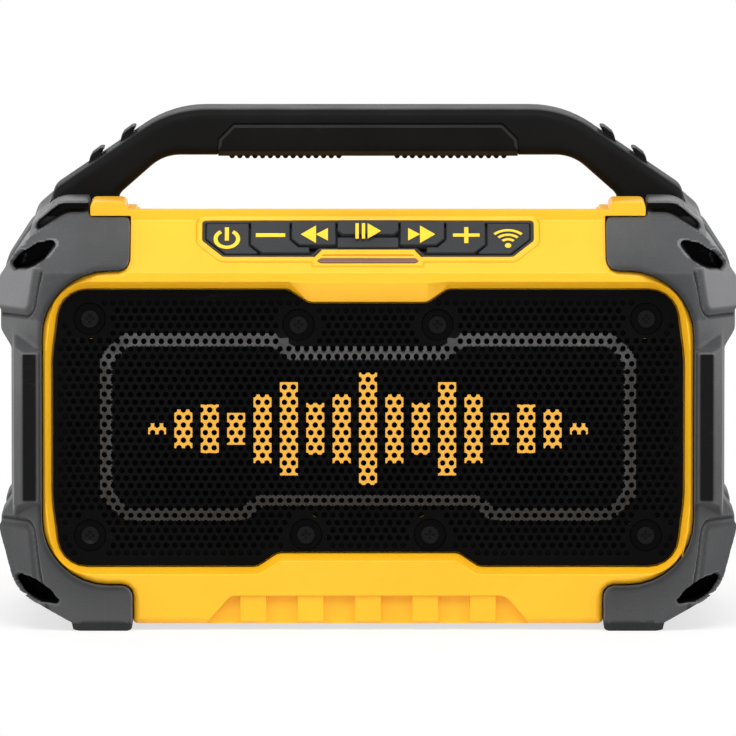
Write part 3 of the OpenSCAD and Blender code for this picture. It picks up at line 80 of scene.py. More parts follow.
def share(value: float, start: float = 0.0, end: float = 1.0) -> float:
    """Returns how far a value has come from a start to an end, kept from 0 to 1."""
    return max(0.0, min(1.0, (value - start) / (end - start)))


def bevel(bm: BMesh, edges: list[BMEdge], width: float, segments: int, clamp: bool = False) -> None:
    """Bevels edges of a mesh by one width, and keeps it back from other edges if told to clamp."""
    bmesh.ops.bevel(bm, geom=edges, offset=width, offset_type="OFFSET", segments=segments, profile=0.5,
                    affect="EDGES", clamp_overlap=clamp, material=-1)


def placed(name: str, bm: BMesh) -> Object:
    """Turns a mesh, freed here, into an object of the scene.

    Args:
        name: the object's name.
        bm: its mesh.

    Returns:
        The new object.
    """
    mesh = bpy.data.meshes.new(name)
    bm.to_mesh(mesh)
    bm.free()
    made = bpy.data.objects.new(name, mesh)
    bpy.context.scene.collection.objects.link(made)
    return made


class Nodes:
    """Short calls that grow one shader node tree."""

    def __init__(self, tree: NodeTree) -> None:
        """Keeps the tree that the calls add to."""
        self.tree = tree

    @classmethod
    def of(cls, owner: Material | bpy.types.World) -> Nodes:
        """Returns the calls for the tree of a material or a world."""
        owner.use_nodes = True
        return cls(owner.node_tree)

    def add(self, kind: str, feeds: dict[str | int, object] | None = None, **settings: object) -> Node:
        """Adds a node.

        Args:
            kind: Blender's name of the node type.
            feeds: what goes into its sockets, by their name or number.
            settings: properties to set on the node.

        Returns:
            The new node.
        """
        node = self.tree.nodes.new(kind)
        for name, value in settings.items():
            setattr(node, name, value)
        self.feed(node, feeds or {})
        return node

    def feed(self, node: Node, feeds: dict[str | int, object]) -> None:
        """Links sockets of a node to other sockets, or sets them to plain values.

        Args:
            node: the node.
            feeds: what goes into its sockets, by their name or number.
        """
        for name, value in feeds.items():
            socket = node.inputs[name]
            if isinstance(value, NodeSocket):
                self.tree.links.new(value, socket)
            else:
                socket.default_value = (*value, 1.0) if socket.type == "RGBA" else value

    def texture(self, kind: str, vector: object, scale: object, **inputs: object) -> Node:
        """Adds a texture of a kind such as "Noise", read at a vector, with its features per metre as its scale."""
        return self.add("ShaderNodeTex" + kind, {"Vector": vector, "Scale": scale, **inputs})

    def maths(self, operation: str, *values: object) -> NodeSocket:
        """Returns the result of one arithmetic step on sockets or plain numbers."""
        return self.add("ShaderNodeMath", dict(enumerate(values)), operation=operation).outputs[0]

    def spread(self, value: object, low: float, high: float, to_low: float = 0.0, to_high: float = 1.0) -> NodeSocket:
        """Returns a value stretched from one range to another and clamped there."""
        return self.add("ShaderNodeMapRange", dict(enumerate((value, low, high, to_low, to_high)))).outputs[0]

    def mix(self, factor: object, first: object, second: object) -> NodeSocket:
        """Returns a mix of two colours: the factor tells how much of the second one shows."""
        return self.add("ShaderNodeMix", {0: factor, 6: first, 7: second}, data_type="RGBA").outputs[2]


class Effect(Enum):
    """Surface effects that several finishes share."""

    GRAIN = "moulded grain"
    MARKS = "handling marks"
    DRAWN = "drawn metal"


class EffectShelf:
    """Builds each shared effect once, as a node group."""

    def __init__(self) -> None:
        """Starts with no group built."""
        self._trees: dict[Effect, NodeTree] = {}

    def place(self, nodes: Nodes, effect: Effect, vector: object, size: float) -> dict[str, NodeSocket]:
        """Puts an effect into a material.

        Args:
            nodes: the material's tree.
            effect: which effect.
            vector: where it is read.
            size: length of its features in metres.

        Returns:
            The effect's outputs, by their names.
        """
        if effect not in self._trees:
            makers = {Effect.GRAIN: self._grain, Effect.MARKS: self._marks, Effect.DRAWN: self._drawn}
            self._trees[effect] = makers[effect]()
        return nodes.add("ShaderNodeGroup", {"Vector": vector, "Size": size}, node_tree=self._trees[effect]).outputs

    @staticmethod
    def _open(effect: Effect, *outputs: str) -> tuple[Nodes, NodeSocket, NodeSocket, Node]:
        """Starts a group with the sockets Vector and Size.

        Args:
            effect: which effect it holds.
            outputs: names of its output values.

        Returns:
            The group's tree, where it is read, its features per metre and its output node.
        """
        tree = bpy.data.node_groups.new(effect.value, "ShaderNodeTree")
        tree.interface.new_socket("Vector", in_out="INPUT", socket_type="NodeSocketVector")
        tree.interface.new_socket("Size", in_out="INPUT", socket_type="NodeSocketFloat")
        for name in outputs:
            tree.interface.new_socket(name, in_out="OUTPUT", socket_type="NodeSocketFloat")
        nodes = Nodes(tree)
        source = nodes.add("NodeGroupInput").outputs
        return nodes, source["Vector"], nodes.maths("DIVIDE", 1.0, source["Size"]), nodes.add("NodeGroupOutput")

    def _grain(self) -> NodeTree:
        """Makes the pebbled grain of a spark-eroded mould, with a slow drift of tone.

        Returns:
            The group's tree.
        """
        nodes, where, per_metre, sink = self._open(Effect.GRAIN, "Height", "Mottle")
        fine = nodes.texture("Noise", where, per_metre, Detail=3.0, Roughness=0.6)
        pebbles = nodes.texture("Voronoi", where, nodes.maths("MULTIPLY", per_metre, 0.7))
        drift = nodes.texture("Noise", where, 30.0, Detail=5.0, Roughness=0.6)
        height = nodes.maths("MULTIPLY_ADD", pebbles.outputs["Distance"], 0.5, fine.outputs[0])
        nodes.feed(sink, {"Height": height, "Mottle": nodes.spread(drift.outputs[0], 0.34, 0.66)})
        return nodes.tree

    def _marks(self) -> NodeTree:
        """Makes fine scratches in patches, and soft smudges.

        Returns:
            The group's tree.
        """
        nodes, where, per_metre, sink = self._open(Effect.MARKS, "Scratch", "Smudge")
        lean = nodes.add("ShaderNodeMapping", {"Vector": where, "Rotation": (0.3, 0.9, 0.5), "Scale": (0.12, 1.0, 1.0)})
        lines = nodes.texture("Noise", lean.outputs[0], per_metre, Detail=2.0, Distortion=0.4)
        patches = nodes.texture("Noise", where, 45.0, Detail=3.0)
        smudge = nodes.texture("Noise", where, 70.0, Detail=4.0, Distortion=0.8)
        thin = nodes.spread(nodes.maths("ABSOLUTE", nodes.maths("SUBTRACT", lines.outputs[0], 0.5)), 0.008, 0.0)
        scratch = nodes.maths("MULTIPLY", thin, nodes.spread(patches.outputs[0], 0.52, 0.7))
        nodes.feed(sink, {"Scratch": scratch, "Smudge": nodes.spread(smudge.outputs[0], 0.4, 0.7)})
        return nodes.tree

    def _drawn(self) -> NodeTree:
        """Makes the fine lines of drawn or turned metal.

        Returns:
            The group's tree.
        """
        nodes, where, per_metre, sink = self._open(Effect.DRAWN, "Height", "Streak")
        stretch = nodes.add("ShaderNodeMapping", {"Vector": where, "Scale": (1.0, 0.06, 1.0)})
        lines = nodes.texture("Noise", stretch.outputs[0], per_metre, Detail=4.0).outputs[0]
        stain = nodes.texture("Noise", where, 160.0, Detail=3.0).outputs[0]
        nodes.feed(sink, {"Height": lines, "Streak": nodes.maths("MULTIPLY", lines, stain)})
        return nodes.tree


@dataclass(frozen=True)
class Finish:
    """Moulded plastic, rubber, paint or paper.

    Attributes:
        name: the material's name.
        colour: main colour.
        shade: colour that it drifts to.
        rough: roughness, least and most.
        grain: size of its grain.
        relief: depth of its grain.
        specular: level of its gloss at a right angle.
        marks: how strongly scratches and smudges show.
        coat: share of clear coat.
        scratch: width of its scratches' features.
    """

    name: str
    colour: Colour
    shade: Colour
    rough: tuple[float, float] = (0.4, 0.5)
    grain: float = 0.5 * MM
    relief: float = 0.03 * MM
    specular: float = 0.5
    marks: float = 0.1
    coat: float = 0.0
    scratch: float = 6.0 * MM

    def material(self, shelf: EffectShelf) -> Material:
        """Builds the material.

        Args:
            shelf: where shared effects come from.

        Returns:
            The new material.
        """
        material = bpy.data.materials.new(self.name)
        nodes = Nodes.of(material)
        shader = nodes.tree.nodes["Principled BSDF"]
        nodes.feed(shader, {"Specular IOR Level": self.specular, "Coat Weight": self.coat})
        self.surface(nodes, shader, nodes.add("ShaderNodeTexCoord").outputs["Object"], shelf)
        return material

    def surface(self, nodes: Nodes, shader: Node, where: object, shelf: EffectShelf) -> None:
        """Makes up the surface.

        Args:
            nodes: the material's tree.
            shader: its Principled shader.
            where: object coordinates.
            shelf: where shared effects come from.
        """
        grain = shelf.place(nodes, Effect.GRAIN, where, self.grain)
        marks = shelf.place(nodes, Effect.MARKS, where, self.scratch)
        tone = nodes.mix(nodes.maths("MULTIPLY", grain["Mottle"], 0.8), self.colour, self.shade)
        pale = tuple(0.7 * c + 0.1 for c in self.colour)
        scratch = nodes.maths("MULTIPLY", marks["Scratch"], self.marks)
        smudge = nodes.maths("MULTIPLY", marks["Smudge"], 0.5)
        self.lay(nodes, shader, nodes.mix(scratch, self.tone(nodes, where, tone), pale),
                 nodes.maths("MULTIPLY_ADD", grain["Mottle"], 0.5, smudge), grain["Height"])

    def lay(self, nodes: Nodes, shader: Node, colour: object, wander: object, height: object) -> None:
        """Feeds colour, roughness and relief.

        Args:
            nodes: the material's tree.
            shader: its Principled shader.
            colour: the colour.
            wander: how far the roughness has come from its least to its most.
            height: the relief's height.
        """
        bump = nodes.add("ShaderNodeBump", {"Strength": 1.0, "Distance": self.relief, "Height": height})
        rough = nodes.spread(wander, 0.0, 1.0, *self.rough)
        nodes.feed(shader, {"Base Color": colour, "Roughness": rough, "Normal": bump.outputs[0]})

    def tone(self, nodes: Nodes, where: object, tone: object) -> object:
        """Returns the colour with anything that is printed on it: nothing here."""
        return tone


@dataclass(frozen=True)
class LevelBars(Finish):
    """Painted sheet with a row of level bars printed on it.

    Attributes:
        ink: colour of the print.
        half_width: half of the row's width.
        middle: height of the row's middle.
        tallest: height of the tallest bar.
        pitch: distance from bar to bar.
        bar: half of a bar's width, as a share of the pitch.
        beat: how fast the heights swing along the row, in radians a bar.
        swing: how far they swing, and round which height, as shares.
        fall: how fast they fall towards the row's ends, in radians a bar.
    """

    ink: Colour = (0.74, 0.38, 0.055)
    half_width: float = 80 * MM
    middle: float = 73.55 * MM
    tallest: float = 41 * MM
    pitch: float = 9.6 * MM
    bar: float = 0.34
    beat: float = 1.9
    swing: tuple[float, float] = (0.24, 0.6)
    fall: float = 0.17

    def tone(self, nodes: Nodes, where: object, tone: object) -> object:
        """Makes up the paint's colour with the bars printed over it.

        Args:
            nodes: the material's tree.
            where: object coordinates.
            tone: the colour so far.

        Returns:
            The colour.
        """
        place = nodes.add("ShaderNodeSeparateXYZ", {0: where}).outputs
        across = nodes.maths("DIVIDE", place["X"], self.pitch)
        number = nodes.maths("ROUND", across)
        aside = nodes.maths("ABSOLUTE", nodes.maths("SUBTRACT", across, number))
        beat, swell = (nodes.maths("COSINE", nodes.maths("MULTIPLY", number, pace)) for pace in (self.beat, self.fall))
        swing = nodes.maths("MULTIPLY_ADD", beat, *self.swing)
        reach = nodes.maths("MULTIPLY", nodes.maths("MULTIPLY", swing, swell), self.tallest / 2 / sum(self.swing))
        rise = nodes.maths("ABSOLUTE", nodes.maths("SUBTRACT", place["Z"], self.middle))
        inside = nodes.maths("MULTIPLY", nodes.maths("LESS_THAN", aside, self.bar),
                             nodes.maths("LESS_THAN", rise, reach))
        in_row = nodes.maths("LESS_THAN", nodes.maths("ABSOLUTE", place["X"]), self.half_width)
        return nodes.mix(nodes.maths("MULTIPLY", inside, in_row), tone, self.ink)


@dataclass(frozen=True)
class Rubber(Finish):
    """Moulded rubber, pale where it is worn or painted with highlight and dark where shade is painted, as the mesh
    tells.

    Attributes:
        painted_shade: colour of the painted shade.
        worn_and_lit: colour of the worn edges and of the painted highlights.
        dull: level of gloss where shade is painted.
    """

    painted_shade: Colour = (0.007, 0.007, 0.0075)
    worn_and_lit: Colour = (0.19, 0.19, 0.195)
    dull: float = 0.04

    def surface(self, nodes: Nodes, shader: Node, where: object, shelf: EffectShelf) -> None:
        """Makes up the surface, and takes the gloss off where shade is painted.

        Args:
            nodes: the material's tree.
            shader: its Principled shader.
            where: object coordinates.
            shelf: where shared effects come from.
        """
        super().surface(nodes, shader, where, shelf)
        # Where shade is painted, the gloss is taken off as well.
        painted_shade = nodes.add("ShaderNodeAttribute", attribute_name="painted_shade").outputs["Fac"]
        nodes.feed(shader, {"Specular IOR Level": nodes.spread(painted_shade, 0.0, 1.0, self.specular, self.dull)})

    def tone(self, nodes: Nodes, where: object, tone: object) -> object:
        """Makes up the rubber's colour with its pale worn edges, its painted highlights and its painted shade.

        Args:
            nodes: the material's tree.
            where: object coordinates, not used.
            tone: the colour so far.

        Returns:
            The colour.
        """
        # Pale share: worn edges and painted highlights; dark share: painted shade.
        for name, colour in (("worn_and_lit", self.worn_and_lit), ("painted_shade", self.painted_shade)):
            tone = nodes.mix(nodes.add("ShaderNodeAttribute", attribute_name=name).outputs["Fac"], tone, colour)
        return tone


@dataclass(frozen=True)
class Metal(Finish):
    """Bare or plated metal with drawn lines.

    Attributes:
        scratch: width of its scratches' features.
    """

    scratch: float = 4.0 * MM

    def surface(self, nodes: Nodes, shader: Node, where: object, shelf: EffectShelf) -> None:
        """Makes up the surface, and makes the shader metallic.

        Args:
            nodes: the material's tree.
            shader: its Principled shader.
            where: object coordinates.
            shelf: where shared effects come from.
        """
        drawn = shelf.place(nodes, Effect.DRAWN, where, self.grain)
        marks = shelf.place(nodes, Effect.MARKS, where, self.scratch)
        nodes.feed(shader, {"Metallic": 1.0})
        wander = nodes.maths("MULTIPLY_ADD", marks["Scratch"], 0.5, drawn["Streak"])
        self.lay(nodes, shader, nodes.mix(drawn["Streak"], self.colour, self.shade), wander, drawn["Height"])


@dataclass(frozen=True)
class Woven(Finish):
    """Cloth of crossing threads, or foam with the same cell size."""

    def surface(self, nodes: Nodes, shader: Node, where: object, shelf: EffectShelf) -> None:
        """Makes up the surface as a plain weave.

        Args:
            nodes: the material's tree.
            shader: its Principled shader.
            where: object coordinates.
            shelf: where shared effects come from.
        """
        grain = shelf.place(nodes, Effect.GRAIN, where, self.grain)
        feeds = {"Vector": where, "Scale": 0.32 / self.grain, "Distortion": 0.6, "Detail": 1.0}
        waves = [nodes.add("ShaderNodeTexWave", feeds, bands_direction=way).outputs["Fac"] for way in ("X", "Z")]
        thread = nodes.maths("MAXIMUM", *waves)
        wander = nodes.maths("MULTIPLY", thread, grain["Mottle"])
        self.lay(nodes, shader, nodes.mix(thread, self.shade, self.colour), wander, thread)


@dataclass(frozen=True)
class Laminate(Finish):
    """Circuit board: lacquer over copper tracks."""

    def surface(self, nodes: Nodes, shader: Node, where: object, shelf: EffectShelf) -> None:
        """Makes up the surface with tracks under lacquer.

        Args:
            nodes: the material's tree.
            shader: its Principled shader.
            where: object coordinates.
            shelf: where shared effects come from.
        """
        grain = shelf.place(nodes, Effect.GRAIN, where, self.grain)
        cells = nodes.add("ShaderNodeTexVoronoi", {"Vector": where, "Scale": 180.0}, distance="CHEBYCHEV", feature="F2")
        track = nodes.spread(cells.outputs["Distance"], 0.62, 0.68)
        self.lay(nodes, shader, nodes.mix(track, self.colour, self.shade), grain["Mottle"], track)


class Finishes:
    """Every finish of the speaker."""

    HOUSING = Finish("housing_yellow", (0.94, 0.49, 0.014), (0.9, 0.45, 0.01), (0.34, 0.46), 0.45 * MM,
                     0.006 * MM, 0.4, 0.05)
    BUMPER = Rubber("bumper_grey", (0.056, 0.057, 0.059), (0.042, 0.043, 0.045), (0.5, 0.66), 0.7 * MM,
                    0.17 * MM, 0.4, 0.2)
    HANDLE = Finish("handle_black", (0.006, 0.006, 0.0062), (0.004, 0.004, 0.004), (0.5, 0.62), 0.6 * MM,
                    0.03 * MM, 0.07, 0.06)
    GRIP = Finish("grip_black", (0.006, 0.006, 0.0062), (0.004, 0.004, 0.004), (0.6, 0.75), 0.5 * MM,
                  0.03 * MM, 0.06, 0.05)
    # Paler copy of the grip for the faces on its chamfer: a painted highlight.
    GRIP_EDGE = Finish("grip_slope_painted_highlight", (0.02, 0.02, 0.02), (0.016, 0.016, 0.016), (0.5, 0.65), 0.5 * MM,
                       0.03 * MM, 0.1, 0.1)
    SHEET = LevelBars("grille_print", (0.003, 0.003, 0.0033), (0.002, 0.002, 0.002), (0.36, 0.46), 0.9 * MM,
                      0.006 * MM, 0.03, 0.05)
    SHEET_EDGE = Finish("grille_black", (0.003, 0.003, 0.003), (0.002, 0.002, 0.002), (0.4, 0.5), 0.9 * MM,
                        0.006 * MM, 0.04, 0.05)
    # Lighter copy of the grille paint for the pressed slope: a painted highlight, with some scratches.
    SHEET_SLOPE = Finish("grille_slope_painted_highlight", (0.03, 0.03, 0.032), (0.02, 0.02, 0.021), (0.4, 0.5), 0.9 * MM,
                         0.006 * MM, 0.3, 0.3)
    BLACK_SCREW = Finish("screw_black", (0.005, 0.005, 0.0055), (0.008, 0.008, 0.0085), (0.34, 0.46), 0.4 * MM,
                         0.004 * MM, 0.06, 0.3)
    KEYPAD = Finish("key_grey", (0.034, 0.035, 0.038), (0.028, 0.029, 0.031), (0.5, 0.6), 0.4 * MM,
                    0.012 * MM, 0.16, 0.08)
    INK = Finish("key_print", (0.95, 0.62, 0.03), (0.9, 0.56, 0.025), (0.5, 0.6), 0.3 * MM, 0.004 * MM, 0.3, 0.05)
    LENS = Finish("lens_rose", (0.18, 0.08, 0.055), (0.14, 0.06, 0.04), (0.2, 0.3), 1.2 * MM, 0.01 * MM, 0.5, 0.05, 0.3)
    SEAL = Finish("seal_black", (0.012, 0.012, 0.012), (0.02, 0.02, 0.02), (0.7, 0.85), 0.4 * MM, 0.02 * MM, 0.3)
    SCREEN = Woven("screen_cloth", (0.006, 0.006, 0.006), (0.002, 0.002, 0.002), (0.8, 0.95), 0.3 * MM,
                   0.05 * MM, 0.1)
    BOARD = Laminate("board_green", (0.008, 0.07, 0.03), (0.02, 0.13, 0.05), (0.3, 0.45), 0.4 * MM, 0.02 * MM)
    SWITCH = Finish("switch_black", (0.015, 0.015, 0.016), (0.03, 0.03, 0.03), (0.4, 0.55), 0.3 * MM, 0.01 * MM)
    BASKET = Finish("basket_black", (0.014, 0.014, 0.015), (0.025, 0.025, 0.026), (0.35, 0.5), 0.6 * MM, 0.01 * MM)
    GASKET = Woven("gasket_foam", (0.03, 0.03, 0.03), (0.012, 0.012, 0.012), (0.8, 0.95), 0.5 * MM, 0.1 * MM, 0.2)
    MAGNET = Metal("magnet_zinc", (0.5, 0.5, 0.5), (0.36, 0.37, 0.38), (0.3, 0.5), 0.4 * MM, 0.003 * MM)
    SURROUND = Finish("surround_black", (0.012, 0.012, 0.012), (0.02, 0.02, 0.02), (0.55, 0.7), 0.4 * MM, 0.01 * MM)
    CONE = Woven("cone_paper", (0.03, 0.029, 0.028), (0.018, 0.018, 0.017), (0.75, 0.9), 0.7 * MM, 0.04 * MM, 0.2)
    SCREW = Metal("screw_steel", (0.34, 0.34, 0.35), (0.2, 0.2, 0.21), (0.28, 0.45), 0.3 * MM, 0.003 * MM)
    SINK = Metal("sink_aluminium", (0.7, 0.7, 0.71), (0.55, 0.56, 0.57), (0.3, 0.45), 0.3 * MM, 0.004 * MM)
    CAPACITOR = Finish("capacitor_sleeve", (0.03, 0.032, 0.05), (0.02, 0.021, 0.03), (0.3, 0.4), 0.4 * MM, 0.004 * MM)
    TERMINAL = Finish("terminal_black", (0.013, 0.013, 0.014), (0.02, 0.02, 0.02), (0.45, 0.6), 0.5 * MM, 0.01 * MM)
    BLADE = Metal("blade_brass", (0.75, 0.5, 0.2), (0.55, 0.35, 0.13), (0.22, 0.4), 0.25 * MM, 0.003 * MM)
    SOCKET = Finish("socket_black", (0.013, 0.013, 0.014), (0.02, 0.02, 0.02), (0.35, 0.5), 0.4 * MM, 0.006 * MM)
    SHELL = Metal("socket_steel", (0.6, 0.6, 0.6), (0.42, 0.42, 0.43), (0.22, 0.36), 0.25 * MM, 0.002 * MM)
    COVER = Finish("cover_black", (0.014, 0.014, 0.015), (0.022, 0.022, 0.023), (0.6, 0.75), 0.5 * MM, 0.02 * MM, 0.3)


class Workshop:
    """Holds the loaded model and turns finished meshes into pieces that ride on it."""

    def __init__(self, frame: dict) -> None:
        """Keeps the loaded model and starts with no material made.

        Args:
            frame: the loaded model.
        """
        self.nodes: dict[str, Object] = frame["nodes"]
        self._shelf = EffectShelf()
        self._materials: dict[str, Material] = {}

    def material(self, finish: Finish) -> Material:
        """Gives a finish's material, made at its first use.

        Args:
            finish: the finish.

        Returns:
            The material.
        """
        if finish.name not in self._materials:
            self._materials[finish.name] = finish.material(self._shelf)
        return self._materials[finish.name]

    def dress(self, finish: Finish, *names: str) -> None:
        """Gives CAD nodes a finish.

        Args:
            finish: the finish.
            names: nodes that keep their own shape.
        """
        for name in names:
            for slot in self.nodes[name].material_slots:
                slot.material = self.material(finish)
            LOG.info("%s keeps its shape, in %s", name, finish.name)

    def copied(self, name: str, join: float = 0.002 * MM) -> BMesh:
        """Copies a CAD node.

        Args:
            name: the node.
            join: distance up to which points become one.

        Returns:
            The copy.
        """
        bm = bmesh.new()
        bm.from_mesh(self.nodes[name].data)
        bmesh.ops.remove_doubles(bm, verts=bm.verts, dist=join)
        return bm

    @staticmethod
    def rounded(bm: BMesh, width: float, segments: int = 2, sharp: float = 28.0,
                within: Callable[[BMVert], bool] = bool) -> BMesh:
        """Rounds the sharp edges of a mesh.

        Args:
            bm: the mesh.
            width: how far the rounding reaches from an edge.
            segments: faces across the rounding.
            sharp: least angle, in degrees, of an edge that is rounded.
            within: tells whether an edge's end may take part.

        Returns:
            The same mesh.
        """
        bevel(bm, [e for e in bm.edges if len(e.link_faces) == 2 and e.calc_face_angle() > math.radians(sharp)
                   and all(map(within, e.verts))], width, segments)
        return bm

    def merged(self, name: str, join: float = 0.002 * MM) -> BMesh:
        """Copies a CAD node as copied does, with its triangles joined into flat faces.

        Args:
            name: the CAD node's name.
            join: distance under which corners are joined.

        Returns:
            The mesh.
        """
        bm = self.copied(name, join)
        bmesh.ops.dissolve_limit(bm, angle_limit=math.radians(0.6), verts=bm.verts, edges=bm.edges)
        return bm

    @staticmethod
    def worked(bm: BMesh, steps: dict[str, dict[str, object]]) -> BMesh:
        """Runs modifiers over a mesh and takes their result.

        Args:
            bm: the mesh, freed here.
            steps: settings of each modifier, by its kind and in order.

        Returns:
            The result.
        """
        blank = placed("blank", bm)
        for kind, settings in steps.items():
            step = blank.modifiers.new(kind.lower(), kind)
            for setting, value in settings.items():
                setattr(step, setting, value)
        done = bmesh.new()
        done.from_object(blank, bpy.context.evaluated_depsgraph_get())
        bpy.data.meshes.remove(blank.data)
        return done

    def piece(self, name: str, bm: BMesh, finishes: Iterable[Finish], body: str = BODY,
              stands_for: Iterable[str] = (), sharp: float = 40.0) -> None:
        """Makes an object of a finished mesh.

        Args:
            name: the new object's name.
            bm: its mesh, freed here.
            finishes: its finishes, in the order of its faces' material numbers.
            body: the body that it rides on.
            stands_for: CAD nodes that it replaces.
            sharp: angle, in degrees, past which an edge stays hard.
        """
        for face in bm.faces:
            face.smooth = True
        for edge in bm.edges:
            edge.smooth = len(edge.link_faces) == 2 and edge.calc_face_angle() < math.radians(sharp)
        made = placed(name, bm)
        for finish in finishes:
            made.data.materials.append(self.material(finish))
        weigh = made.modifiers.new("flat faces stay flat", "WEIGHTED_NORMAL")
        weigh.keep_sharp = True
        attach(made, body)
        if stands_for:
            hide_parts(*stands_for)
        LOG.info("%s: %d faces, on %s", name, len(made.data.polygons), body)

    def soften(self, name: str, node: str, width: float, finish: Finish, body: str = BODY,
               segments: int = 2) -> None:
        """Makes a piece of a CAD node with its sharp edges rounded."""
        self.piece(name, self.rounded(self.merged(node), width, segments), [finish], body, [node])


class Assembly(ABC):
    """A group of pieces that are built together."""

    @abstractmethod
    def build(self, shop: Workshop) -> None:
        """Builds and dresses the group."""


@dataclass
class Studio:
    """Camera, lights, floor and white surroundings.

    Attributes:
        target: point that the camera looks at.
        distance: how far off the camera stands.
        elevation: degrees that it looks down.
        lens: focal length in millimetres.
        dim: the surroundings' strength as a lamp.
        floor_radius: size of the floor.
        glow: where the floor starts and ends to fade to white, and how white it is at both.
    """

    target: Vector = field(default_factory=lambda: Vector((0.0, 0.0, 90.2 * MM)))
    distance: float = 5.0
    elevation: float = 5.0
    lens: float = 663.5
    dim: float = 0.45
    floor_radius: float = 3.0
    glow: tuple[float, float, float, float] = (0.13, 0.28, 0.68, 1.0)

    def build(self) -> None:
        """Puts up the whole studio."""
        self._camera()
        self._surroundings()
        self._floor()
        self._softbox("top softbox", (0.0, -0.75, 1.25), 1.1, 0.9, 13.0)
        self._softbox("left softbox", (-1.25, -0.55, 0.55), 0.5, 1.1, 7.0)
        self._softbox("right softbox", (1.25, -0.55, 0.55), 0.5, 1.1, 7.0)
        self._softbox("back softbox", (0.0, 1.2, 0.9), 1.2, 0.8, 7.0)

    def _camera(self) -> None:
        """Sets up the camera at the photograph's angle."""
        data = bpy.data.cameras.new("camera")
        data.lens = self.lens
        tilt = math.radians(self.elevation)
        camera = bpy.data.objects.new("camera", data)
        camera.location = self.target + self.distance * Vector((0.0, -math.cos(tilt), math.sin(tilt)))
        camera.rotation_euler = (math.pi / 2 - tilt, 0.0, 0.0)
        bpy.context.scene.collection.objects.link(camera)
        bpy.context.scene.camera = camera
        bpy.context.scene.view_settings.view_transform = "Standard"

    @staticmethod
    def _seen(nodes: Nodes) -> NodeSocket:
        """Tells, by 1, where the eye, a reflection or a clear pane looks, and by 0, other light.

        Args:
            nodes: the tree to add to.

        Returns:
            The share.
        """
        path = nodes.add("ShaderNodeLightPath").outputs
        seen = nodes.maths("MAXIMUM", path["Is Camera Ray"], path["Is Glossy Ray"])
        return nodes.maths("MAXIMUM", seen, path["Is Transmission Ray"])

    def _surroundings(self) -> None:
        """Makes the world white to look at and dim as a lamp."""
        world = bpy.data.worlds.new("white surroundings")
        bpy.context.scene.world = world
        nodes = Nodes.of(world)
        strength = nodes.spread(self._seen(nodes), 0.0, 1.0, self.dim, 1.0)
        nodes.feed(nodes.tree.nodes["Background"], {"Strength": strength, "Color": (1.0, 1.0, 1.0)})

    def _floor(self) -> None:
        """Lays a pale floor that takes the shadow and fades to white."""
        bm = bmesh.new()
        bmesh.ops.create_circle(bm, cap_ends=True, segments=64, radius=self.floor_radius)
        floor = placed("floor", bm)
        material = bpy.data.materials.new("floor_white")
        floor.data.materials.append(material)
        nodes = Nodes.of(material)
        shader = nodes.tree.nodes["Principled BSDF"]
        where = nodes.add("ShaderNodeTexCoord").outputs["Object"]
        cloud = nodes.mix(nodes.texture("Noise", where, 8.0).outputs[0], (0.93, 0.93, 0.93), (0.9, 0.9, 0.9))
        nodes.feed(shader, {"Base Color": cloud, "Roughness": 0.8, "Specular IOR Level": 0.1})
        reach = nodes.add("ShaderNodeVectorMath", {0: where}, operation="LENGTH").outputs["Value"]
        white = nodes.maths("MULTIPLY", nodes.spread(reach, *self.glow), self._seen(nodes))
        glow = nodes.add("ShaderNodeEmission").outputs[0]
        blend = nodes.add("ShaderNodeMixShader", {0: white, 1: shader.outputs[0], 2: glow})
        nodes.feed(nodes.tree.nodes["Material Output"], {"Surface": blend.outputs[0]})

    def _softbox(self, name: str, place: tuple[float, float, float], wide: float, high: float, watts: float) -> None:
        """Hangs one soft light that faces the speaker.

        Args:
            name: the lamp's name.
            place: where it hangs.
            wide: its width.
            high: its height.
            watts: its power.
        """
        data = bpy.data.lights.new(name, "AREA")
        data.shape = "RECTANGLE"
        data.size, data.size_y, data.energy = wide, high, watts
        lamp = bpy.data.objects.new(name, data)
        lamp.location = place
        lamp.rotation_euler = (self.target - Vector(place)).to_track_quat("-Z", "Y").to_euler()
        bpy.context.scene.collection.objects.link(lamp)


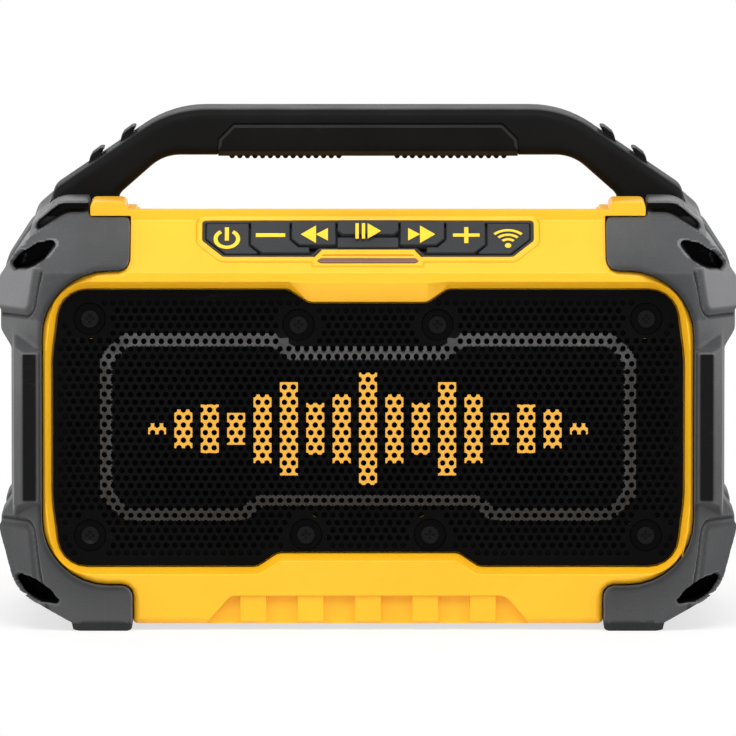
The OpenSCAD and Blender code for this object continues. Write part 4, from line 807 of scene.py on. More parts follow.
@dataclass
class Shells(Assembly):
    """Housing halves and handle: the hard outside.

    Attributes:
        housing_join: distance up to which points of the housing become one.
        housing_round: rounding of the housing's edges.
        housing_sharp: least angle, in degrees, of an edge that is rounded there.
        handle_round: rounding of the handle's edges.
        rim_height: how far the rim round the keypad stands out of the panel.
        rim_middle: the keypad's middle, up the panel's slope.
        rim_slope: width of the rim's sloped wall.
        grip_chamfer: width of the slope round the grip's two faces.
        grip_face: how far these faces stand from the middle plane, at least.
        grip_tilt: part of a normal along Y, least and most, of a face on the slope.
        grip_round: rounding of the grip's edges.
    """

    housing_join: float = 0.25 * MM
    housing_round: float = 0.3 * MM
    housing_sharp: float = 36.0
    handle_round: float = 0.5 * MM
    rim_height: float = 0.9 * MM
    rim_middle: float = 14.0 * MM
    rim_slope: float = 0.7 * MM
    grip_chamfer: float = 1.3 * MM
    grip_face: float = 15.35 * MM
    grip_tilt: tuple[float, float] = (0.5, 0.9)
    grip_round: float = 0.2 * MM

    def build(self, shop: Workshop) -> None:
        """Builds and dresses every shell.

        Args:
            shop: the workshop that makes the pieces.
        """
        for side in ("front", "rear"):
            bm = shop.merged(f"{side}_housing", self.housing_join)
            self._slope_rim(bm)
            shop.rounded(bm, self.housing_round, sharp=self.housing_sharp)
            shop.piece(f"{side}_shell", bm, [Finishes.HOUSING], stands_for=[f"{side}_housing"])
        shop.soften("carry_bar", "handle", self.handle_round, Finishes.HANDLE)
        grip = shop.rounded(shop.merged("handle_grip"), self.grip_chamfer, 1,
                            within=lambda vert: abs(vert.co.y) > self.grip_face)
        grip.normal_update()
        # Faces on the chamfer's slope take the paler grip copy: a painted highlight.
        for face in grip.faces:
            on_slope = abs(face.calc_center_median().y) > self.grip_face - self.grip_chamfer
            face.material_index = int(on_slope and self.grip_tilt[0] < abs(face.normal.y) < self.grip_tilt[1])
        shop.piece("grip_sleeve", shop.rounded(grip, self.grip_round), [Finishes.GRIP, Finishes.GRIP_EDGE],
                   stands_for=["handle_grip"])
        shop.dress(Finishes.SEAL, "housing_seal")
        shop.dress(Finishes.SCREW, "housing_screws")
        shop.dress(Finishes.BLACK_SCREW, "bumper_screws", "handle_screws")

    def _slope_rim(self, bm: BMesh) -> None:
        """Slopes the outer wall of the rim round the keypad.

        Args:
            bm: a housing half.
        """
        panel = Keypad().panel()
        flat = panel.inverted()
        out = panel.to_3x3() @ Vector((0.0, 0.0, 1.0))
        bm.normal_update()
        edges = []
        for edge in bm.edges:
            level = all(abs((flat @ vert.co).z - self.rim_height) < 0.05 * MM for vert in edge.verts)
            walls = [face.normal for face in edge.link_faces if abs(face.normal.dot(out)) < 0.3]
            if level and len(walls) == 1:
                place = flat @ ((edge.verts[0].co + edge.verts[1].co) / 2) - Vector((0.0, self.rim_middle, 0.0))
                if (flat.to_3x3() @ walls[0]).dot(place) > 0.0:
                    edges.append(edge)
        bevel(bm, edges, self.rim_slope, 1)
        LOG.info("%d edges of the keypad's rim sloped", len(edges))


@dataclass(frozen=True)
class WearAndPaintedLight:
    """How pale the rubber's edges are worn, and how much painted highlight and painted shade its faces get, as shares.

    Attributes:
        bend: how strongly a bend shows, and the least that shows.
        edge: most paleness of a worn edge.
        crease: most painted shade in a crease.
        pads: painted highlight on the upper pads.
        sides: painted highlight on the outer sides.
        waist: painted highlight on the waist's upper end.
        waist_span: heights between which the waist's painted highlight grows.
        foot: painted shade on the foot.
        recess: painted shade in the recess under the lip, on its upright faces and on its other ones.
        lip: painted shade on the lip's top.
        lip_rise: height of the lip's top over the recess, at least.
        ring_near: painted shade by the bezel ring, and how far it reaches.
        ring_far: painted shade round the bezel ring, and how far it reaches.
        groove: painted shade in the grooves round the pads.
        shoulder: painted shade halfway up a pad's slope.
        low_pad: painted shade on the lower pads.
        square: parts of a normal between which a face comes to count as square to an axis.
        facing: part of a normal past which a face counts as facing some way.
    """

    bend: tuple[float, float] = (3.0, 0.25)
    edge: float = 0.7
    crease: float = 0.6
    pads: float = 0.85
    sides: float = 0.5
    waist: float = 0.3
    waist_span: tuple[float, float] = (60.0 * MM, 100.0 * MM)
    foot: float = 0.7
    recess: tuple[float, float] = (0.9, 0.4)
    lip: float = 0.35
    lip_rise: float = 3.0 * MM
    ring_near: tuple[float, float] = (0.55, 2.5 * MM)
    ring_far: tuple[float, float] = (0.3, 12.0 * MM)
    groove: float = 0.95
    shoulder: float = 0.4
    low_pad: float = 0.2
    square: tuple[float, float] = (0.9, 0.98)
    facing: float = 0.6


@dataclass
class Bumper(Assembly):
    """Soft corner guard with two raised pads on its front chamfer.

    Attributes:
        side: which one it is, left or right.
        sign: which way it lies along X, -1 or 1.
        wear_and_light: how it is worn, and where highlight and shade are painted on it.
        voxel: finest length of the moulding.
        front: how far the chamfer's inner edge stands in front of the middle plane.
        corner: distance of that edge from the middle.
        run: how far the chamfer goes outwards and backwards.
        pad_edge: distance of a pad from that edge, at the pad's end by the waist.
        pad_ends: height of that end of the upper and of the lower pad.
        pad_leans: how much each pad's side leans to the front, away from the waist.
        pad_round: radius of a pad's corner.
        pad_reach: distance from the chamfer up to which a point belongs to it.
        pad_facing: parts of a normal along the chamfer's between which a point comes to belong to it.
        rise: height of a pad.
        shoulder: width of its slope.
        groove: width and depth of the groove round it.
        slots: place, in from the middle and up, and turn of each slot.
        slot_size: half of a slot's length and width.
        slot_end: how far a slot's floor stands from the middle plane.
        slot_mouth: how far inside the skin a slot's shade starts.
        brow: depth, height and steepness of the slope over the upper slot.
        rib: how far the waist's rib stands in front of the middle plane.
        ring: half width, lower edge, upper edge and corner radius of the bezel ring between the bumpers.
        recess: depth and least height of the floor under the lip.
        foot: height of the foot, and how far it reaches from the middle.
        trim: how far the toe is lifted behind the foot, and where that ends.
        toe: height of the toe, how it leans, and the heights between which it comes to be lifted.
        back_slope: inner end, height there and steepness of the slope that ends the top at the back.
        back_reach: width of that slope.
    """

    side: str
    sign: int
    wear_and_light: WearAndPaintedLight = WearAndPaintedLight()
    voxel: float = 0.7 * MM
    front: float = 68.0 * MM
    corner: float = 119.0 * MM
    run: tuple[float, float] = (15.0 * MM, 21.0 * MM)
    pad_edge: float = 5.7 * MM
    pad_ends: tuple[float, float] = (115.2 * MM, 38.8 * MM)
    pad_leans: tuple[float, float] = (0.278, 0.192)
    pad_round: float = 4.0 * MM
    pad_reach: float = 2.0 * MM
    pad_facing: tuple[float, float] = (0.84, 0.94)
    rise: float = 1.3 * MM
    shoulder: float = 2.6 * MM
    groove: tuple[float, float] = (1.8 * MM, 0.9 * MM)
    slots: tuple[tuple[float, float, float], ...] = ((121.5, 136.6, -30.0), (120.0, 14.4, 33.0))
    slot_size: tuple[float, float] = (9.2 * MM, 3.6 * MM)
    slot_end: float = 41.5 * MM
    slot_mouth: float = 1.2 * MM
    brow: tuple[float, float, float] = (66.0 * MM, 132.7 * MM, 1.035)
    rib: float = 69.4 * MM
    ring: tuple[float, float, float, float] = (118.5 * MM, 16.6 * MM, 131.2 * MM, 24.0 * MM)
    recess: tuple[float, float] = (40.0 * MM, 149.0 * MM)
    foot: tuple[float, float] = (3.1 * MM, 107.6 * MM)
    trim: tuple[float, float] = (2.3 * MM, 123.0 * MM)
    toe: tuple[float, float, float, float] = (12.0 * MM, 0.7, 9.0 * MM, 3.0 * MM)
    back_slope: tuple[float, float, float] = (86.5 * MM, 140.0 * MM, 2.4)
    back_reach: float = 5.0 * MM

    def build(self, shop: Workshop) -> None:
        """Builds the bumper.

        Args:
            shop: the workshop that makes the pieces.
        """
        node = f"{self.side}_bumper"
        bm = shop.worked(shop.copied(node), {"REMESH": {"mode": "VOXEL", "voxel_size": self.voxel},
                                             "SMOOTH": {"factor": 0.5, "iterations": 4}})
        self._shape(bm)
        bm = shop.worked(bm, {"DECIMATE": {"ratio": 0.5}})
        # Paints wear, highlight and shade onto the bumper as shares.
        self._paint_wear_and_light(bm)
        shop.piece(f"{self.side}_guard", bm, [Finishes.BUMPER], stands_for=[node], sharp=80.0)

    @cached_property
    def start(self) -> Vector:
        """Returns the chamfer's inner edge, at the floor."""
        return Vector((self.sign * self.corner, -self.front, 0.0))

    @cached_property
    def out(self) -> Vector:
        """Returns the way that the chamfer faces."""
        return Vector((self.sign * self.run[1], -self.run[0], 0.0)).normalized()

    @cached_property
    def along(self) -> Vector:
        """Returns the way that the chamfer runs, outwards and backwards."""
        return Vector((self.sign * self.run[0], self.run[1], 0.0)).normalized()

    def _pad(self, place: Vector) -> tuple[float, float]:
        """Finds how high up the nearer pad's slope a place on the chamfer lies, and how deep in the groove round it.

        Args:
            place: the place.

        Returns:
            Two shares from 0 to 1.
        """
        reach = (place - self.start).dot(self.along) - self.pad_edge
        room = -math.inf
        for end, lean, way in zip(self.pad_ends, self.pad_leans, (1, -1)):
            up = way * (place.z - end)
            across = reach + lean * max(0.0, up)
            in_corner = max(across, up) < self.pad_round
            room = max(room, self.pad_round - math.hypot(self.pad_round - across, self.pad_round - up) if in_corner
                       else min(across, up))
        return share(room, 0.0, self.shoulder), share(1.0 - abs(2 * room / self.groove[0] + 1.0))

    def _shape(self, bm: BMesh) -> None:
        """Lifts the pads, cuts the grooves round them, lifts the toe behind the foot and slopes the back's end.

        Args:
            bm: the bumper.
        """
        bm.normal_update()
        inner, low, steep = self.back_slope
        toe_top, toe_lean, *toe_span = self.toe
        moves: list[tuple[BMVert, Vector]] = []
        for vert in bm.verts:
            x, z = abs(vert.co.x), vert.co.z
            facing = share(vert.normal.dot(self.out), *self.pad_facing)
            if facing and abs((vert.co - self.start).dot(self.out)) < self.pad_reach:
                up, dip = self._pad(vert.co)
                height = self.rise * up * up * (3.0 - 2.0 * up) - self.groove[1] * dip
                moves.append((vert, self.out * facing * height))
            beyond = x - self.foot[1]
            if beyond > 0.0 and z < toe_top:
                fade = share(x, self.trim[1], self.foot[1])
                near = share(z - toe_lean * beyond, *toe_span)
                moves.append((vert, Vector((0.0, 0.0, self.trim[0] * fade * near))))
            over = z - low - steep * (x - inner)
            if vert.co.y > 0.0 and over > 0.0 and x < inner + self.back_reach:
                moves.append((vert, Vector((0.0, 0.0, -over))))
        for vert, move in moves:
            vert.co += move

    def _paint_wear_and_light(self, bm: BMesh) -> None:
        """Writes on each point how pale it is worn or painted with highlight, and how much painted shade it gets.

        Args:
            bm: the bumper.
        """
        bm.normal_update()
        painted_shade = bm.verts.layers.float.new("painted_shade")
        worn_and_lit = bm.verts.layers.float.new("worn_and_lit")
        gain, least = self.wear_and_light.bend
        for vert in bm.verts:
            steps = [(edge.other_vert(vert).co - vert.co) for edge in vert.link_edges]
            bend = gain * sum(step.normalized().dot(vert.normal) for step in steps) / max(1, len(steps))
            # Convex bends are worn pale, and the painted highlight joins them.
            vert[worn_and_lit] = max(0.0, min(self.wear_and_light.edge, -bend - least), self._painted_highlight_at(vert))
            # Concave bends get painted shade, and so do the hollows and shaded places.
            vert[painted_shade] = max(0.0, min(self.wear_and_light.crease, bend - least), self._painted_shade_at(vert))

    def _painted_highlight_at(self, vert: BMVert) -> float:
        """Finds how much painted highlight the open surface gets at a point: the outer sides, the upper pads and the
        waist's upper end are painted paler, as light from above and the sides would make them.

        Args:
            vert: the point.

        Returns:
            A share from 0 to 1.
        """
        # Outer sides, upper pads and the waist's upper end get a painted highlight.
        side = self.wear_and_light.sides * share(abs(vert.normal.x), *self.wear_and_light.square)
        if vert.normal.dot(self.out) < 0.5 or vert.co.y > 0.0:
            return side
        if vert.co.z > self.pad_ends[0] - self.groove[0]:
            return max(self.wear_and_light.pads * self._pad(vert.co)[0], side)
        return max(self.wear_and_light.waist * share(vert.co.z, *self.wear_and_light.waist_span), side)

    def _ring_gap(self, x: float, z: float) -> float:
        """Finds how far a place, seen from the front, lies outside the bezel ring.

        Args:
            x: its distance from the middle.
            z: its height.

        Returns:
            The distance, less than 0 inside the ring.
        """
        half, low, high, corner = self.ring
        across = x - (half - corner)
        up = abs(z - (low + high) / 2) - ((high - low) / 2 - corner)
        return math.hypot(max(across, 0.0), max(up, 0.0)) + min(0.0, max(across, up)) - corner

    def _in_slot(self, x: float, ahead: float, z: float) -> bool:
        """Tells whether a place lies in a slot.

        Args:
            x: its distance from the middle.
            ahead: its distance from the middle plane.
            z: its height.

        Returns:
            Whether it does.
        """
        depth, foot, steep = self.brow
        skin = min(self.front, self.front - (x - self.corner) * self.run[1] / self.run[0], depth - steep * (z - foot))
        for middle, height, turn in self.slots:
            flat = Matrix.Rotation(math.radians(-turn), 2) @ Vector((x - middle * MM, z - height * MM))
            if abs(flat.x) < self.slot_size[0] and abs(flat.y) < self.slot_size[1]:
                return self.slot_end < ahead < skin - self.slot_mouth
        return False

    def _painted_shade_at(self, vert: BMVert) -> float:
        """Finds how much painted shade a point gets, as in a hollow or a shaded place.

        Args:
            vert: the point.

        Returns:
            A share from 0, in the open, to 1.
        """
        wear_and_light, normal = self.wear_and_light, vert.normal
        x, ahead, z = abs(vert.co.x), abs(vert.co.y), vert.co.z
        # Painted shade on the foot, the rib's front, the recess, the slots, the lip's top, round the bezel ring, in the
        # grooves and on the pads.
        if z < self.foot[0] and x < self.foot[1]:
            return wear_and_light.foot
        if ahead > self.rib:
            return share(abs(normal.y), *wear_and_light.square)
        if z > self.recess[1] and ahead < self.recess[0]:
            return wear_and_light.recess[0] if abs(normal.y) > wear_and_light.facing else wear_and_light.recess[1]
        if self.sign * normal.x < wear_and_light.facing and self._in_slot(x, ahead, z):
            return 1.0
        if z > self.recess[1] + wear_and_light.lip_rise and normal.z > wear_and_light.facing:
            return wear_and_light.lip
        gap = self._ring_gap(x, z)
        near, far = max(0.0, 1.0 - gap / wear_and_light.ring_near[1]), share(gap, wear_and_light.ring_far[1], 0.0)
        shade = share(abs(normal.y), 0.3, 0.7) * (wear_and_light.ring_near[0] * near + wear_and_light.ring_far[0] * far)
        if normal.dot(self.out) > wear_and_light.facing and abs(ahead - self.front) < self.run[1] and vert.co.y < 0.0:
            up, dip = self._pad(vert.co)
            pad = wear_and_light.low_pad * up if z < self.pad_ends[1] else 0.0
            shade = max(shade, wear_and_light.groove * dip, 4.0 * wear_and_light.shoulder * up * (1.0 - up), pad)
        return min(1.0, shade)


@dataclass
class Grille(Assembly):
    """Punched and pressed front sheet with its screws.

    The sheet is drawn flat, X across and Y up, and stands up at the end.

    Attributes:
        pitch: distance between neighbouring holes.
        hole: diameter of a hole.
        sheet: thickness of the sheet.
        face: how far the flat border stands in front of the middle plane.
        back: where the sheet's turned edge ends.
        margin: least solid sheet round the field of holes.
        backed: distance from the rim up to which a hole shows the screen's dark border behind it.
        rise: height of the pressed middle.
        slope: width of its slope.
        middle: height of the sheet's middle.
        dimple: radius of a screw's dimple.
        sink: depth of a dimple.
        cup_wall: width of a dimple's wall.
        seat: radius of the hole in its floor.
        screws: places of the screws on the right half.
        screw_round: rounding of the screws' edges.
        rim_round: rounding of the sheet's turned edge.
        rows: rows of places for holes over the middle, and as many under it.
        columns: columns of places right of the middle, and as many left of it.
        soft: width over which the pressed outline's corners are rounded, in millimetres.
        bend: how much the slope's two ends are rounded.
        sloped: shares of the rise between which the sheet counts as sloped.
        stand: turn that stands flat work up.
    """

    pitch: float = 3.2 * MM
    hole: float = 2.1 * MM
    sheet: float = 1.2 * MM
    face: float = 60.2 * MM
    back: float = 58.0 * MM
    margin: float = 0.04 * MM
    backed: float = 5.0 * MM
    rise: float = 3.5 * MM
    slope: float = 5.2 * MM
    middle: float = 73.55 * MM
    dimple: float = 6.0 * MM
    sink: float = 1.0 * MM
    cup_wall: float = 0.5 * MM
    seat: float = 1.7 * MM
    screws: tuple[tuple[float, float], ...] = ((101.3, 113.4), (101.3, 34.2), (25.3, 111.2), (22.6, 34.4))
    screw_round: float = 0.3 * MM
    rim_round: float = 0.1 * MM
    rows: int = 20
    columns: int = 38
    soft: float = 0.7
    bend: float = 0.12
    sloped: tuple[float, float] = (0.04, 0.96)
    stand: Matrix = field(default_factory=lambda: Matrix.Rotation(math.pi / 2, 4, "X"))

    def build(self, shop: Workshop) -> None:
        """Builds the sheet and its screws.

        Args:
            shop: the workshop that makes the pieces.
        """
        bm = self._rim(shop)
        rim = list(bm.edges)
        self._punch(bm)
        cups = [edge for place in self._places() for edge in self._circle(bm, place)]
        jagged = [e for e in bm.edges if len(e.link_faces) == 1 and all(abs(v.co.z) < 0.01 * MM for v in e.verts)]
        fill = bmesh.ops.triangle_fill(bm, use_beauty=True, edges=rim + cups + jagged, normal=(0.0, 0.0, 1.0))
        bm.normal_update()
        bmesh.ops.reverse_faces(bm, faces=[f for f in fill["geom"] if isinstance(f, BMFace) and f.normal.z < 0.0])
        for vert in bm.verts:
            vert.co.z += self.face + self._lift(vert.co)
        self._turn_edge(bm, rim)
        self._sink_cups(bm, cups)
        bm.normal_update()
        # Faces on the pressed slope take the lighter paint: a painted highlight.
        for face in bm.faces:
            lift = self._lift(face.calc_center_median()) / self.rise
            if face.material_index == 0 and self.sloped[0] < lift < self.sloped[1]:
                face.material_index = 2
        bm.transform(self.stand)
        shop.piece("punched_sheet", bm, [Finishes.SHEET, Finishes.SHEET_EDGE, Finishes.SHEET_SLOPE],
                   stands_for=["grille"], sharp=50.0)
        shop.soften("sheet_screws", "grille_screws", self.screw_round, Finishes.BLACK_SCREW)

    def _places(self) -> list[Vector]:
        """Returns the places of all screws, flat."""
        return [Vector((side * x * MM, y * MM, 0.0)) for side in (-1, 1) for x, y in self.screws]

    def _rim(self, shop: Workshop) -> BMesh:
        """Copies the outer edge of the CAD sheet's face.

        Args:
            shop: the workshop.

        Returns:
            A flat mesh of that loop of edges alone.
        """
        bm = shop.merged("grille")
        bm.transform(self.stand.inverted())
        near = 0.02 * MM
        loop = {e for e in bm.edges if all(abs(v.co.z - self.face) < near for v in e.verts)
                and any(min(v.co.z for v in f.verts) < self.back + near for f in e.link_faces)}
        bmesh.ops.delete(bm, geom=[e for e in bm.edges if e not in loop], context="EDGES")
        bmesh.ops.delete(bm, geom=[v for v in bm.verts if not v.link_edges], context="VERTS")
        for vert in bm.verts:
            vert.co.z = 0.0
        return bm

    def _cell(self, backed: bool) -> bpy.types.Mesh:
        """Makes one hole with its share of the sheet and its wall.

        Args:
            backed: whether it is closed behind.

        Returns:
            The hole's mesh.
        """
        bm = bmesh.new()
        bmesh.ops.create_circle(bm, segments=12, radius=self.hole / 2)
        edge = list(bm.edges)
        bmesh.ops.create_circle(bm, segments=6, radius=self.pitch / math.sqrt(3))
        bmesh.ops.subdivide_edges(bm, edges=[e for e in bm.edges if e not in edge], cuts=1)
        bmesh.ops.bridge_loops(bm, edges=bm.edges)
        wall = bmesh.ops.extrude_edge_only(bm, edges=edge)["geom"]
        back = [v for v in wall if isinstance(v, BMVert)]
        bmesh.ops.translate(bm, vec=(0.0, 0.0, -self.sheet), verts=back)
        if backed:
            wall += bmesh.ops.contextual_create(bm, geom=back)["faces"]
        for face in wall:
            if isinstance(face, BMFace):
                face.material_index = 1
        bmesh.ops.recalc_face_normals(bm, faces=bm.faces)
        if any(f.normal.z < -0.5 for f in bm.faces):
            bmesh.ops.reverse_faces(bm, faces=bm.faces)
        mesh = bpy.data.meshes.new("one hole")
        bm.to_mesh(mesh)
        bm.free()
        return mesh

    def _punch(self, bm: BMesh) -> None:
        """Lays the field of holes inside the rim.

        Args:
            bm: the flat rim, which the field joins.
        """
        rim = [tuple(v.co.xy for v in e.verts) for e in bm.edges]
        places = self._places()
        least, holes = self.pitch / math.sqrt(3) + self.margin, 0
        cells = {backed: self._cell(backed) for backed in (False, True)}
        here = {backed: Vector((0.0, 0.0, 0.0)) for backed in cells}
        for row in range(-self.rows, self.rows):
            for column in range(-self.columns, self.columns + 1):
                across, up = column + row % 2 / 2, (row + 0.5) * math.sqrt(0.75)
                place = Vector((across * self.pitch, self.middle + up * self.pitch, 0.0))
                room = self._room(place, rim)
                if room > least and all((place - screw).length > self.dimple + least for screw in places):
                    backed = room < self.backed
                    cells[backed].transform(Matrix.Translation(place - here[backed]))
                    bm.from_mesh(cells[backed])
                    here[backed], holes = place, holes + 1
        for cell in cells.values():
            bpy.data.meshes.remove(cell)
        bmesh.ops.remove_doubles(bm, verts=bm.verts, dist=0.02 * MM)
        LOG.info("the sheet has %d holes", holes)

    @staticmethod
    def _room(place: Vector, rim: list[tuple[Vector, Vector]]) -> float:
        """Measures how far a place lies inside the rim.

        Args:
            place: the place.
            rim: the rim's edges.

        Returns:
            The distance from the rim, or 0 outside it.
        """
        inside, room = False, math.inf
        for a, b in rim:
            along = share((place.xy - a).dot(b - a) / (b - a).length_squared)
            room = min(room, (place.xy - a.lerp(b, along)).length)
            if (a.y > place.y) != (b.y > place.y) and place.x < a.x + (place.y - a.y) * (b.x - a.x) / (b.y - a.y):
                inside = not inside
        return room if inside else 0.0

    def _circle(self, bm: BMesh, place: Vector) -> list[BMEdge]:
        """Draws a dimple's edge and returns its edges."""
        verts = bmesh.ops.create_circle(bm, segments=28, radius=self.dimple, matrix=Matrix.Translation(place))["verts"]
        return list({e for v in verts for e in v.link_edges})

    def _lift(self, place: Vector) -> float:
        """Finds how far the press lifts the sheet at a place.

        Args:
            place: a place on the sheet.

        Returns:
            The height.
        """
        x, y = abs(place.x) / MM, place.y / MM
        band = ((70.2, 44.5), (70.2, 103.8), (-70.2, 103.8), (-70.2, 44.5))
        wing = ((44.4, 39.5), (89.2, 39.5), (98.2, 48.5), (98.2, 99.8), (89.2, 108.8), (33.0, 108.8), (20.0, 97.97),
                (20.0, 59.83))
        rooms = []
        for outline in (band, wing):
            total = 0.0
            for (ax, ay), (bx, by) in zip(outline, outline[1:] + outline[:1]):
                length = math.hypot(bx - ax, by - ay)
                reach = ((bx - ax) * (y - ay) - (by - ay) * (x - ax)) / length
                total += math.exp(min(40.0, -reach / self.soft))
            rooms.append(-self.soft * math.log(total))
        up = share(max(rooms) * MM, 0.0, self.slope)
        return self.rise * (up + self.bend * math.sin(2 * math.pi * up) / -2)

    def _turn_edge(self, bm: BMesh, rim: list[BMEdge]) -> None:
        """Turns the sheet's edge back and rounds it.

        Args:
            bm: the sheet's mesh.
            rim: the edges round it.
        """
        made = bmesh.ops.extrude_edge_only(bm, edges=rim)["geom"]
        bmesh.ops.translate(bm, vec=(0.0, 0.0, self.back - self.face), verts=[v for v in made if isinstance(v, BMVert)])
        bevel(bm, rim, self.rim_round, 2, clamp=True)

    def _sink_cups(self, bm: BMesh, cups: list[BMEdge]) -> None:
        """Presses the dimples down to their screw seats.

        Args:
            bm: the sheet.
            cups: the edges of all dimples.
        """
        ring = cups
        for radius in (self.dimple - self.cup_wall, self.seat):
            made = bmesh.ops.extrude_edge_only(bm, edges=ring)["geom"]
            inner = {v for v in made if isinstance(v, BMVert)}
            ring = [e for e in made if isinstance(e, BMEdge) and inner.issuperset(e.verts)]
            for vert in inner:
                centre = min(self._places(), key=lambda p: (p.xy - vert.co.xy).length)
                away = (vert.co.xy - centre.xy).normalized() * radius
                vert.co = (centre.x + away.x, centre.y + away.y, self.face - self.sink)


class Stroke(Enum):
    """Shapes that the keys' marks are drawn from."""

    ARC = "arc"
    BAR = "bar"
    DOT = "dot"
    WEDGE = "wedge"


@dataclass
class Keypad(Assembly):
    """Sloped key panel: tray, seven keys with raised marks, and the status lens.

    Marks are drawn flat on the panel, X across and Y up its slope, in millimetres.

    Attributes:
        lean: degrees that the panel leans back from upright.
        foot: the panel's front edge, in the middle.
        tray_round: rounding of the tray's edges.
        lens_round: rounding of the lens's edges.
        key_round: rounding of a key's edges.
        print_height: how far a mark stands out.
        keys: how far each key's top stands out of the panel, and the strokes of its mark.
    """

    lean: float = 46.0
    foot: Vector = field(default_factory=lambda: Vector((0.0, -65.0, 131.7)) * MM)
    tray_round: float = 0.25 * MM
    lens_round: float = 0.2 * MM
    key_round: float = 0.55 * MM
    print_height: float = 0.12
    keys: dict[str, tuple[float, list[tuple]]] = field(default_factory=lambda: {
        "power": (1.0, [(Stroke.ARC, -51.4, 14.1, 4.1, 1.5, 122.0, 296.0), (Stroke.BAR, -51.4, 16.5, 1.5, 6.4)]),
        "volume_down": (1.6, [(Stroke.BAR, -35.5, 15.4, 10.7, 1.75)]),
        "previous": (2.2, [(Stroke.WEDGE, -18.94, -24.46, 15.3, 8.46), (Stroke.WEDGE, -14.6, -18.94, 15.3, 6.06)]),
        "play": (3.0, [(Stroke.BAR, -3.97, 16.25, 1.2, 7.4), (Stroke.BAR, -1.64, 16.25, 1.2, 7.4),
                       (Stroke.WEDGE, -0.13, 4.7, 16.25, 7.4)]),
        "next": (2.2, [(Stroke.WEDGE, 18.94, 24.46, 15.3, 8.46), (Stroke.WEDGE, 14.6, 18.94, 15.3, 6.06)]),
        "volume_up": (1.6, [(Stroke.BAR, 35.8, 15.4, 9.75, 1.5), (Stroke.BAR, 35.8, 13.1, 1.5, 3.1),
                            (Stroke.BAR, 35.8, 17.7, 1.5, 3.1)]),
        "pairing": (1.0, [(Stroke.DOT, 51.0, 10.9, 1.15)]
                    + [(Stroke.ARC, 51.0, 10.9, radius, 1.05, 48.0, 84.0) for radius in (3.0, 5.2, 7.4)])})

    def build(self, shop: Workshop) -> None:
        """Builds the tray, the lens, the keys and their marks.

        Args:
            shop: the workshop that makes the pieces.
        """
        shop.soften("key_tray", "keypad_frame", self.tray_round, Finishes.KEYPAD)
        shop.soften("lens_bar", "status_lens", self.lens_round, Finishes.LENS)
        draw = {Stroke.ARC: self._arc, Stroke.BAR: self._bar, Stroke.DOT: self._dot, Stroke.WEDGE: self._wedge}
        for name, (height, strokes) in self.keys.items():
            key = f"{name}_key"
            shop.soften(f"{key}_top", key, self.key_round, Finishes.KEYPAD, f"{key}_cap", 3)
            bm = bmesh.new()
            for kind, *sizes in strokes:
                draw[kind](bm, *sizes)
            self._raise(bm, height)
            shop.piece(f"{name}_mark", bm, [Finishes.INK], f"{key}_cap")

    def _raise(self, bm: BMesh, height: float) -> None:
        """Gives flat marks their thickness and sets them on a key.

        Args:
            bm: the marks.
            height: the key's top, over the panel.
        """
        made = bmesh.ops.extrude_face_region(bm, geom=list(bm.faces))["geom"]
        top = [v for v in made if isinstance(v, BMVert)]
        bmesh.ops.translate(bm, vec=(0.0, 0.0, height + self.print_height), verts=top)
        low = set(bm.verts) - set(top)
        bmesh.ops.translate(bm, vec=(0.0, 0.0, height - self.print_height), verts=list(low))
        bmesh.ops.recalc_face_normals(bm, faces=bm.faces)
        bm.transform(self.panel() @ Matrix.Scale(MM, 4))

    def panel(self) -> Matrix:
        """Returns the frame that lies on the panel, with X across, Y up its slope and Z out of it."""
        return Matrix.Translation(self.foot) @ Matrix.Rotation(math.radians(90.0 - self.lean), 4, "X")

    @staticmethod
    def _bar(bm: BMesh, x: float, y: float, wide: float, high: float) -> None:
        """Draws a bar round its middle.

        Args:
            bm: the mark's mesh.
            x: the middle across.
            y: the middle's height.
            wide: the bar's width.
            high: the bar's height.
        """
        verts = bmesh.ops.create_grid(bm, x_segments=1, y_segments=1, size=0.5)["verts"]
        bmesh.ops.scale(bm, vec=(wide, high, 1.0), verts=verts)
        bmesh.ops.translate(bm, vec=(x, y, 0.0), verts=verts)

    @staticmethod
    def _wedge(bm: BMesh, base: float, tip: float, y: float, high: float) -> None:
        """Draws a triangle from its upright base to its tip.

        Args:
            bm: the mark's mesh.
            base: where the base stands across.
            tip: where the tip is across.
            y: the tip's height.
            high: the base's height.
        """
        verts = bmesh.ops.create_circle(bm, cap_ends=True, segments=3, radius=1.0)["verts"]
        bmesh.ops.translate(bm, vec=(0.0, 0.5, 0.0), verts=verts)
        bmesh.ops.scale(bm, vec=(high / math.sqrt(3), (tip - base) / 1.5, 1.0), verts=verts)
        bmesh.ops.rotate(bm, cent=(0.0, 0.0, 0.0), matrix=Matrix.Rotation(-math.pi / 2, 3, "Z"), verts=verts)
        bmesh.ops.translate(bm, vec=(base, y, 0.0), verts=verts)

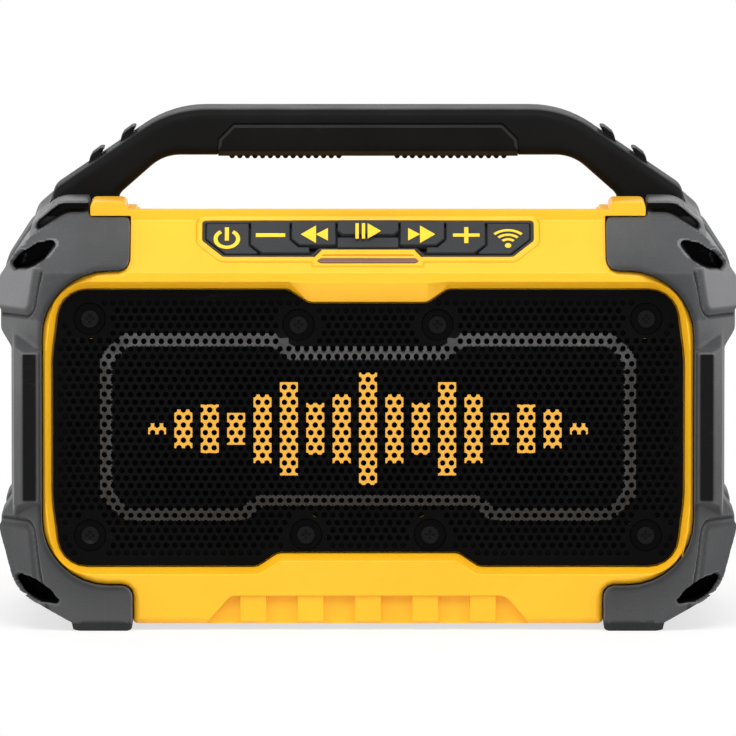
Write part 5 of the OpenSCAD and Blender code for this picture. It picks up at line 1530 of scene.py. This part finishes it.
    @staticmethod
    def _arc(bm: BMesh, x: float, y: float, radius: float, line: float, start: float, sweep: float) -> None:
        """Draws an arc of a line's width, with its angles in degrees.

        Args:
            bm: the mark's mesh.
            x: the centre across.
            y: the centre's height.
            radius: from the centre to the middle of the line.
            line: the line's width.
            start: angle of the first end.
            sweep: angle from there to the last end.
        """
        ends = [bmesh.ops.create_vert(bm, co=(x + radius + side * line / 2, y, 0.0))["vert"][0] for side in (-1, 1)]
        edge = bmesh.ops.contextual_create(bm, geom=ends)["edges"]
        bmesh.ops.rotate(bm, cent=(x, y, 0.0), matrix=Matrix.Rotation(math.radians(start), 3, "Z"), verts=ends)
        bmesh.ops.spin(bm, geom=ends + edge, cent=(x, y, 0.0), axis=(0.0, 0.0, 1.0), angle=math.radians(sweep),
                       steps=max(6, round(abs(sweep) / 9)))

    @staticmethod
    def _dot(bm: BMesh, x: float, y: float, radius: float) -> None:
        """Draws a round dot."""
        verts = bmesh.ops.create_circle(bm, cap_ends=True, segments=20, radius=radius)["verts"]
        bmesh.ops.translate(bm, vec=(x, y, 0.0), verts=verts)


@dataclass
class Insides(Assembly):
    """Drivers, boards and sockets, which keep their CAD shapes, and the port cover.

    Attributes:
        flap_round: rounding of the port cover's edges.
    """

    flap_round: float = 0.4 * MM

    def build(self, shop: Workshop) -> None:
        """Dresses every inner node, and rounds the port cover.

        Args:
            shop: the workshop that makes the pieces.
        """
        for side in ("left", "right"):
            for finish, part in ((Finishes.BASKET, "driver_frame"), (Finishes.GASKET, "driver_gasket"),
                                 (Finishes.MAGNET, "magnet"), (Finishes.SURROUND, "surround"), (Finishes.CONE, "cone")):
                shop.dress(finish, f"{side}_{part}")
        shop.dress(Finishes.SCREEN, "dust_screen")
        shop.dress(Finishes.BOARD, "control_board", "main_board", "port_board")
        shop.dress(Finishes.SWITCH, "key_switches")
        shop.dress(Finishes.SCREW, "driver_screws", "board_screws", "port_cover_pin")
        shop.dress(Finishes.SINK, "heat_sink")
        shop.dress(Finishes.CAPACITOR, "capacitors")
        shop.dress(Finishes.TERMINAL, "terminal_block")
        shop.dress(Finishes.BLADE, "terminal_blades")
        shop.dress(Finishes.SOCKET, "aux_jack", "power_jack")
        shop.dress(Finishes.SHELL, "usb_port")
        shop.soften("port_flap", "port_cover", self.flap_round, Finishes.COVER, "cover")


def main() -> None:
    """Builds the studio and every piece of the speaker."""
    logging.basicConfig(level=logging.INFO, format="%(name)s: %(message)s")
    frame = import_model()
    shop = Workshop(frame)
    Studio().build()
    for assembly in (Shells(), Bumper("left", -1), Bumper("right", 1), Grille(), Keypad(), Insides()):
        assembly.build(shop)


if __name__ == "__main__":
    main()
